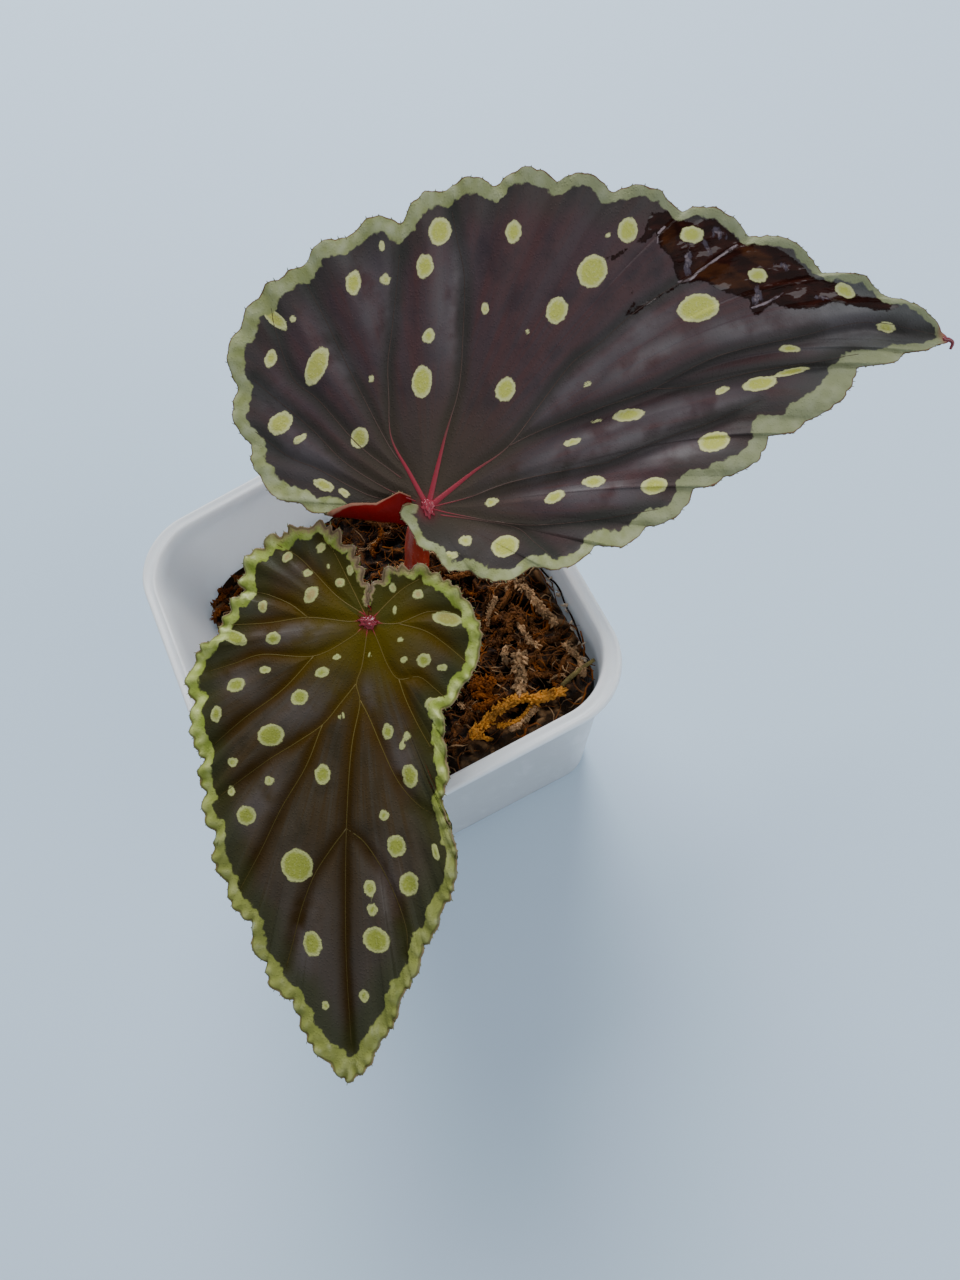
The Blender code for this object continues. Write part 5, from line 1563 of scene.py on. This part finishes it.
def pot_finish(colours):
    """Frosted polypropylene, painted darker as painted shade where the damp moss shows faintly through it.
    """
    finish = Finish("frosted_plastic", transmission_weight=0.2, ior=1.4, subsurface_weight=0.75,
                    subsurface_radius=(1.0, 1.0, 1.0), subsurface_scale=0.004, coat_weight=0.35,
                    coat_roughness=0.16)
    place = finish.object_mm()
    x, y, z = (finish.axis(place, axis) for axis in "XYZ")
    level = z - x * MOSS_RISE[0] - y * MOSS_RISE[1]
    haze = finish.grain(place, 6.0, 3.0)
    fine = finish.grain(place, 0.5, 2.0)
    flow = finish.grain(finish.stretched(place, (1.0, 1.0, 0.08)), 3.0, 3.0)
    # Painted shade: the wall is darker below the slant of the moss's top, for the dark moss seen through
    # the frosted plastic
    filled = finish.fade(level + 4.0 * (haze - 0.5), MOSS_TOP + 0.5, MOSS_TOP - 4.0)
    base = finish.blend(filled * 0.75, colours.plastic, colours.filled)
    finish.put("Base Color", finish.blend(finish.fade(flow, 0.5, 0.8) * 0.3, base, (0.9, 0.92, 0.95)))
    finish.put("Roughness", colours.roughness + 0.12 * (haze - 0.5) + 0.06 * fine)
    finish.relief(0.6 * flow + 0.3 * fine, 0.1, 0.5)
    return finish


def colour(label, told, default):
    """A colour that a user may change."""
    return FloatVectorProperty(name=label, description=told, default=default, size=3, subtype="COLOR",
                               min=0.0, max=1.0)


class PotLook(bpy.types.PropertyGroup):
    plastic: colour("Plastic", "Colour of the frosted wall", (0.88, 0.91, 0.94))
    # Painted shade of the moss seen through the wall
    filled: colour("Filled", "Colour of the wall where moss stands behind it", (0.46, 0.45, 0.44))
    roughness: FloatProperty(name="Roughness", description="How matt the plastic is", default=0.34,
                             min=0.0, max=1.0)


class MossLook(bpy.types.PropertyGroup):
    ground: colour("Ground", "Darkest brown of the moss", (0.013, 0.004, 0.001))
    brown: colour("Brown", "Brown of most of the moss", (0.115, 0.042, 0.01))
    rust: colour("Rust", "Orange-brown of the dead strands", (0.3, 0.085, 0.008))
    tan: colour("Tan", "Tan of the driest strands", (0.5, 0.3, 0.15))
    gold: colour("Gold", "Yellow-orange of the big strand", (0.6, 0.25, 0.035))
    # Painted light on the moss by the wall, let in through the frosted pot
    rim: colour("Rim", "Paler moss by the wall of the pot", (0.27, 0.155, 0.07))
    twig: colour("Twig", "Olive-brown of the twig", (0.22, 0.17, 0.06))
    crumb: colour("Crumb", "Cream crumbs by the wall", (0.62, 0.50, 0.36))
    fibres: IntProperty(name="Fibres", description="Number of loose fibres", default=1200, min=10, max=4000)
    length: FloatProperty(name="Fibre length", description="Longest fibre", default=9.0 * MM, min=0.001,
                          max=0.02, unit="LENGTH", precision=4)


class StalkLook(bpy.types.PropertyGroup):
    red: colour("Red", "Deep red of the stalks", (0.4, 0.03, 0.012))
    pale: colour("Pale", "Paler red of their streaks", (0.50, 0.06, 0.03))
    bark: colour("Bark", "Brown of the rhizome", (0.16, 0.06, 0.035))


# What a user may change of a leaf: its meaning, then the large leaf's value and the small leaf's
LEAF_LOOK = {
    "panel": ("Between the veins", (0.054, 0.034, 0.038), (0.042, 0.027, 0.012)),
    "by_vein": ("Beside the veins", (0.036, 0.031, 0.026), (0.042, 0.021, 0.001)),
    "by_vein_far": ("Beside the veins, away from the stalk", (0.04, 0.036, 0.034), (0.024, 0.013, 0.003)),
    "blush": ("Patches between the veins", (0.064, 0.031, 0.032), (0.044, 0.034, 0.022)),
    "shade": ("Darker clouds", (0.026, 0.021, 0.025), (0.02, 0.016, 0.008)),
    "glow": ("Round the top of the stalk", (0.056, 0.042, 0.03), (0.066, 0.048, 0.0005)),
    # Greyer towards the tip: on the large leaf mostly a painted sheen, the pale sky mirrored there
    "tip": ("Greyer blade towards the tip", (0.13, 0.132, 0.132), (0.045, 0.038, 0.034)),
    "tip_fade": ("Where it turns greyer, in mm along the blade", (54.0, 74.0), (25.0, 60.0)),
    # Painted sheen: the greyish colour painted on the glossy patches, for the light they mirror
    "bloom": ("Greyish bloom of the glossy patches", (0.084, 0.072, 0.078), (0.07, 0.055, 0.05)),
    "spot": ("Middle of a spot", (0.42, 0.43, 0.09), (0.21, 0.235, 0.04)),
    "spot_rim": ("Rim of a spot", (0.52, 0.52, 0.24), (0.33, 0.35, 0.14)),
    "spot_back": ("Spots of the lobes behind the stalk", (0.4, 0.4, 0.1), (0.34, 0.22, 0.12)),
    "band": ("Pale margin", (0.24, 0.26, 0.105), (0.2, 0.25, 0.04)),
    # Paler margin: partly random streaks, partly a painted highlight on the crests of the rope
    "band_pale": ("Paler streaks of the margin", (0.36, 0.38, 0.23), (0.4, 0.45, 0.15)),
    "band_green": ("Greener stretches of the margin", (0.19, 0.215, 0.07), (0.15, 0.21, 0.028)),
    "band_far": ("Margin towards the tip", (0.19, 0.205, 0.125), (0.15, 0.155, 0.045)),
    "by_band": ("Greener strip inside the margin", (0.036, 0.038, 0.032), (0.022, 0.032, 0.009)),
    "edge": ("Thin line on the very edge", (0.05, 0.035, 0.02), (0.05, 0.035, 0.02)),
    "frill": ("The very edge of the margin", (0.11, 0.045, 0.03), (0.22, 0.15, 0.09)),
    # Painted shadow: how dark the painted shadow line between the frill and the rope is
    "nick": ("How dark the line inside the frill is", 0.0, 0.55),
    "crest": ("Gloss on the crests of the margin", 0.1, 0.8),
    "sheen": ("Soft gloss of the panels between the veins", 0.55, 0.6),
    "even": ("Sheen outside the glossy patches", 0.3, 0.06),
    "ior": ("How strongly the blade mirrors its surroundings", 1.12, 1.12),
    "roughness": ("How matt the blade is", 0.44, 0.5),
    "vein": ("Veins away from the stalk", (0.09, 0.056, 0.046), (0.1, 0.072, 0.014)),
    "vein_red": ("Veins by the stalk", (0.26, 0.026, 0.042), (0.25, 0.02, 0.03)),
    "vein_fade": ("Where their red fades, in mm from the stalk", (7.0, 16.0), (1.5, 2.6)),
    "knob": ("Knot of the veins over the stalk", (0.26, 0.02, 0.036), (0.16, 0.008, 0.018)),
    "under": ("Red underside", (0.20, 0.006, 0.010), (0.16, 0.012, 0.010)),
    "under_dark": ("Darker clouds of the underside", (0.10, 0.006, 0.010), (0.09, 0.010, 0.010)),
    "under_vein": ("Veins of the underside", (0.36, 0.05, 0.045), (0.34, 0.06, 0.045)),
    "under_spot": ("Spots seen from below", (0.42, 0.20, 0.13), (0.36, 0.20, 0.12)),
    "fold": ("Underside shown by a rolled lobe", (0.11, 0.0008, 0.0008), (0.07, 0.004, 0.002)),
    "rolled_rim": ("Pale rim of a rolled lobe", (0.30, 0.17, 0.11), (0.30, 0.17, 0.11)),
    "wet_dark": ("Darkest wet film", (0.011, 0.003, 0.002)),
    "wet_red": ("Red-brown wet film", (0.034, 0.008, 0.005)),
    "wet_amber": ("Where light comes through the film", (0.046, 0.0145, 0.005)),
    # Painted reflection: the lilac-grey patches on the wet film
    "wet_crust": ("Dried lilac-grey patches on the film", (0.07, 0.055, 0.075)),
    # Painted highlight: the pale lines and streaks on the wet film
    "wet_pale": ("Pale streaks in the film", (0.25, 0.2, 0.215))}


def leaf_property(key, told, value):
    """A property of a leaf: an amount, a stretch in mm or a colour, by how many numbers it has."""
    label = key.replace("_", " ").capitalize()
    if isinstance(value, float):
        return FloatProperty(name=label, description=told, default=value, min=0.0, max=2.0)
    if len(value) == 2:
        return FloatVectorProperty(name=label, description=told, default=value, size=2)
    return colour(label, told, value)


def leaf_look(name, which):
    """The property group of one leaf."""
    own = {key: leaf_property(key, told, values[which]) for key, (told, *values) in LEAF_LOOK.items()
           if len(values) > which}
    return type(name, (bpy.types.PropertyGroup,), {"__annotations__": own})


LargeLeafLook = leaf_look("LargeLeafLook", 0)
SmallLeafLook = leaf_look("SmallLeafLook", 1)


class StageLook(bpy.types.PropertyGroup):
    floor: colour("Floor", "Plain pale floor", (0.52, 0.66, 0.81))
    key: FloatProperty(name="Key light", description="Power of the large soft light", default=11.0, min=0.0,
                       unit="POWER")
    fill: FloatProperty(name="Fill light", description="Power of the fill light", default=3.0, min=0.0,
                        unit="POWER")
    sky: FloatProperty(name="Sky", description="Strength of the pale surroundings", default=0.56, min=0.0)


class BEGONIA_OT_pot(bpy.types.Operator):
    """Make the frosted nursery pot"""
    bl_idname = "begonia.pot"
    bl_label = "Pot"

    def execute(self, context):
        pot = mould_pot()
        give(pot, pot_finish(context.scene.begonia_pot))
        settle(pot, "pot")
        return {"FINISHED"}


class BEGONIA_OT_moss(bpy.types.Operator):
    """Make the bed of moss with its loose fibres and dead strands"""
    bl_idname = "begonia.moss"
    bl_label = "Moss"

    def execute(self, context):
        look = context.scene.begonia_moss
        longest = look.length / MM
        bed = mould_moss()
        give(bed, moss_finish("moss_ground", look.ground, look.brown, rim=look.rim))
        pieces = [bed]

        def finished(piece, tone, dark, light):
            give(piece, moss_finish(piece.name, times(tone, dark), times(tone, light)))
            pieces.append(piece)

        # Each kind: seed, share of the fibres or number of strands, length or size, then its finish
        for name, seed, share, reach, size, *finish in (
                ("moss_fibres_brown", 3, 0.5, 1.0, (0.06, 0.17), look.brown, 0.7, 1.8),
                ("moss_fibres_rust", 5, 0.3, 0.8, (0.06, 0.18), look.rust, 0.4, 1.0),
                ("moss_fibres_tan", 7, 0.2, 0.6, (0.06, 0.16), look.tan, 0.35, 1.0)):
            count = int(look.fibres * share)
            finished(fibres(name, seed, count, (2.5, longest * reach), size, (-0.1, 1.1)), *finish)
        for name, seed, count, size, own, *finish in (
                ("moss_tufts", 11, 80, (0.5, 0.95), [], look.brown, 0.45, 1.9),
                ("strand_tan", 12, 30, (0.4, 0.75), TAN_STRANDS, look.tan, 0.4, 1.2),
                ("strand_rusty", 13, 30, (0.4, 0.75), RUSTY_STRANDS, look.rust, 0.4, 1.1),
                ("strand_golden", 14, 0, (0.4, 0.6), GOLDEN_STRANDS, look.gold, 0.5, 1.2)):
            routes = [(*route, STRAND_LIFT) for route in own] + loose_routes(seed, count, (5.0, 11.0), size)
            finished(strands(name, routes, seed), *finish)
        twig, root, crumbs = wall_litter()
        finished(twig, look.twig, 0.5, 1.2)
        finished(root, look.ground, 0.6, 1.4)
        finished(crumbs, look.crumb, 0.6, 1.1)
        for piece in pieces:
            settle(piece, "moss")
        return {"FINISHED"}


class BEGONIA_OT_stalks(bpy.types.Operator):
    """Make the rhizome and the two red leaf stalks"""
    bl_idname = "begonia.stalks"
    bl_label = "Stalks"

    def execute(self, context):
        look = context.scene.begonia_stalks
        stem = shape_rhizome()
        give(stem, moss_finish("rhizome_bark", times(look.bark, 0.4), look.bark, 0.7))
        settle(stem, "rhizome")
        skin = stalk_finish("stalk_red", look.red, look.pale)
        for node, leaf, points, radii in STALKS:
            top = [tuple(np.array(leaf.junction) - leaf.up * depth) for depth in (2.2, 0.35)]
            piece = stalk(node.replace("petiole", "stalk"), points, radii, top)
            give(piece, skin)
            settle(piece, node)
        return {"FINISHED"}


class BEGONIA_OT_leaf_large(bpy.types.Operator):
    """Make the large dark leaf with its waved margin and rolled lobe"""
    bl_idname = "begonia.leaf_large"
    bl_label = "Large leaf"

    def execute(self, context):
        leaf = grow_leaf("large_blade", LARGE_LEAF, context.scene.begonia_leaf_large)
        settle(leaf, "leaf_large")
        return {"FINISHED"}


class BEGONIA_OT_leaf_small(bpy.types.Operator):
    """Make the small olive leaf with its crisped margin"""
    bl_idname = "begonia.leaf_small"
    bl_label = "Small leaf"

    def execute(self, context):
        leaf = grow_leaf("small_blade", SMALL_LEAF, context.scene.begonia_leaf_small)
        settle(leaf, "leaf_small")
        return {"FINISHED"}


class BEGONIA_OT_stage(bpy.types.Operator):
    """Set the pale floor, the soft lights and the camera"""
    bl_idname = "begonia.stage"
    bl_label = "Stage"

    def execute(self, context):
        look = context.scene.begonia_stage
        deselect()
        bpy.ops.mesh.primitive_plane_add(size=FLOOR_SIZE, location=(0, 0, -FLOOR_BELOW))
        floor = made("floor")
        paint = Finish("floor_paint", roughness=0.85)
        mottle = paint.grain(paint.object_mm(), 30.0, 3.0)
        paint.put("Base Color", paint.blend(mottle * 0.3, look.floor, times(look.floor, 1.05)))
        give(floor, paint)
        floor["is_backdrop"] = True
        world = bpy.data.worlds.new("surroundings")
        context.scene.world = world
        world.use_nodes = True
        sky = world.node_tree.nodes["Background"]
        sky.inputs["Color"].default_value = SKY_TINT
        sky.inputs["Strength"].default_value = look.sky
        for name, place, power in (("key_light", KEY_PLACE, look.key),
                                   ("fill_light", FILL_PLACE, look.fill)):
            bpy.ops.object.light_add(type="AREA", location=place)
            light = made(name)
            light.data.shape = "DISK"
            light.data.size = LIGHT_SIZE
            light.data.energy = power
            aim = Vector(LIGHT_AIM) - Vector(place)
            light.rotation_euler = aim.to_track_quat("-Z", "Y").to_euler()
        bpy.ops.object.camera_add(location=CAMERA_PLACE)
        camera = made("camera")
        right, up = Vector(CAMERA_RIGHT), Vector(CAMERA_UP)
        axes = Matrix((right, up, right.cross(up))).transposed()
        camera.rotation_euler = axes.to_euler()
        camera.data.sensor_fit = "VERTICAL"
        camera.data.sensor_height = CAMERA_FILM
        camera.data.lens = CAMERA_LENS
        camera.data.clip_start = 0.01
        context.scene.camera = camera
        return {"FINISHED"}


STALKS = [("petiole_large", LARGE_LEAF, LARGE_STALK, (2.5, 1.8)),
          ("petiole_small", SMALL_LEAF, SMALL_STALK, (1.9, 1.4))]

LOOKS = {"begonia_pot": PotLook, "begonia_moss": MossLook, "begonia_stalks": StalkLook,
         "begonia_leaf_large": LargeLeafLook, "begonia_leaf_small": SmallLeafLook,
         "begonia_stage": StageLook}
OPERATORS = [BEGONIA_OT_stage, BEGONIA_OT_pot, BEGONIA_OT_moss, BEGONIA_OT_stalks,
             BEGONIA_OT_leaf_large, BEGONIA_OT_leaf_small]


class BEGONIA_PT_panel(bpy.types.Panel):
    """The steps that build the plant, and the sizes and colours that each one reads"""
    bl_idname = "BEGONIA_PT_panel"
    bl_label = "Potted begonia"
    bl_space_type = "VIEW_3D"
    bl_region_type = "UI"
    bl_category = "Begonia"

    def draw(self, context):
        for step in OPERATORS:
            self.layout.operator(step.bl_idname)
        for name, kind in LOOKS.items():
            box = self.layout.box()
            box.label(text=kind.__name__)
            for key in kind.__annotations__:
                box.prop(getattr(context.scene, name), key)


def register():
    for kind in list(LOOKS.values()) + OPERATORS + [BEGONIA_PT_panel]:
        bpy.utils.register_class(kind)
    for name, kind in LOOKS.items():
        setattr(bpy.types.Scene, name, PointerProperty(type=kind))


def unregister():
    for name in LOOKS:
        delattr(bpy.types.Scene, name)
    for kind in reversed(list(LOOKS.values()) + OPERATORS + [BEGONIA_PT_panel]):
        bpy.utils.unregister_class(kind)


def plain(box):
    """A box as plain lists of numbers."""
    return [[float(x) for x in corner] for corner in box]


def main():
    register()
    for step in OPERATORS:
        group, action = step.bl_idname.split(".")
        getattr(getattr(bpy.ops, group), action)()
    {"cad": plain(CAD_BOX), "visual": plain(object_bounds())}


if __name__ == "__main__":
    main()
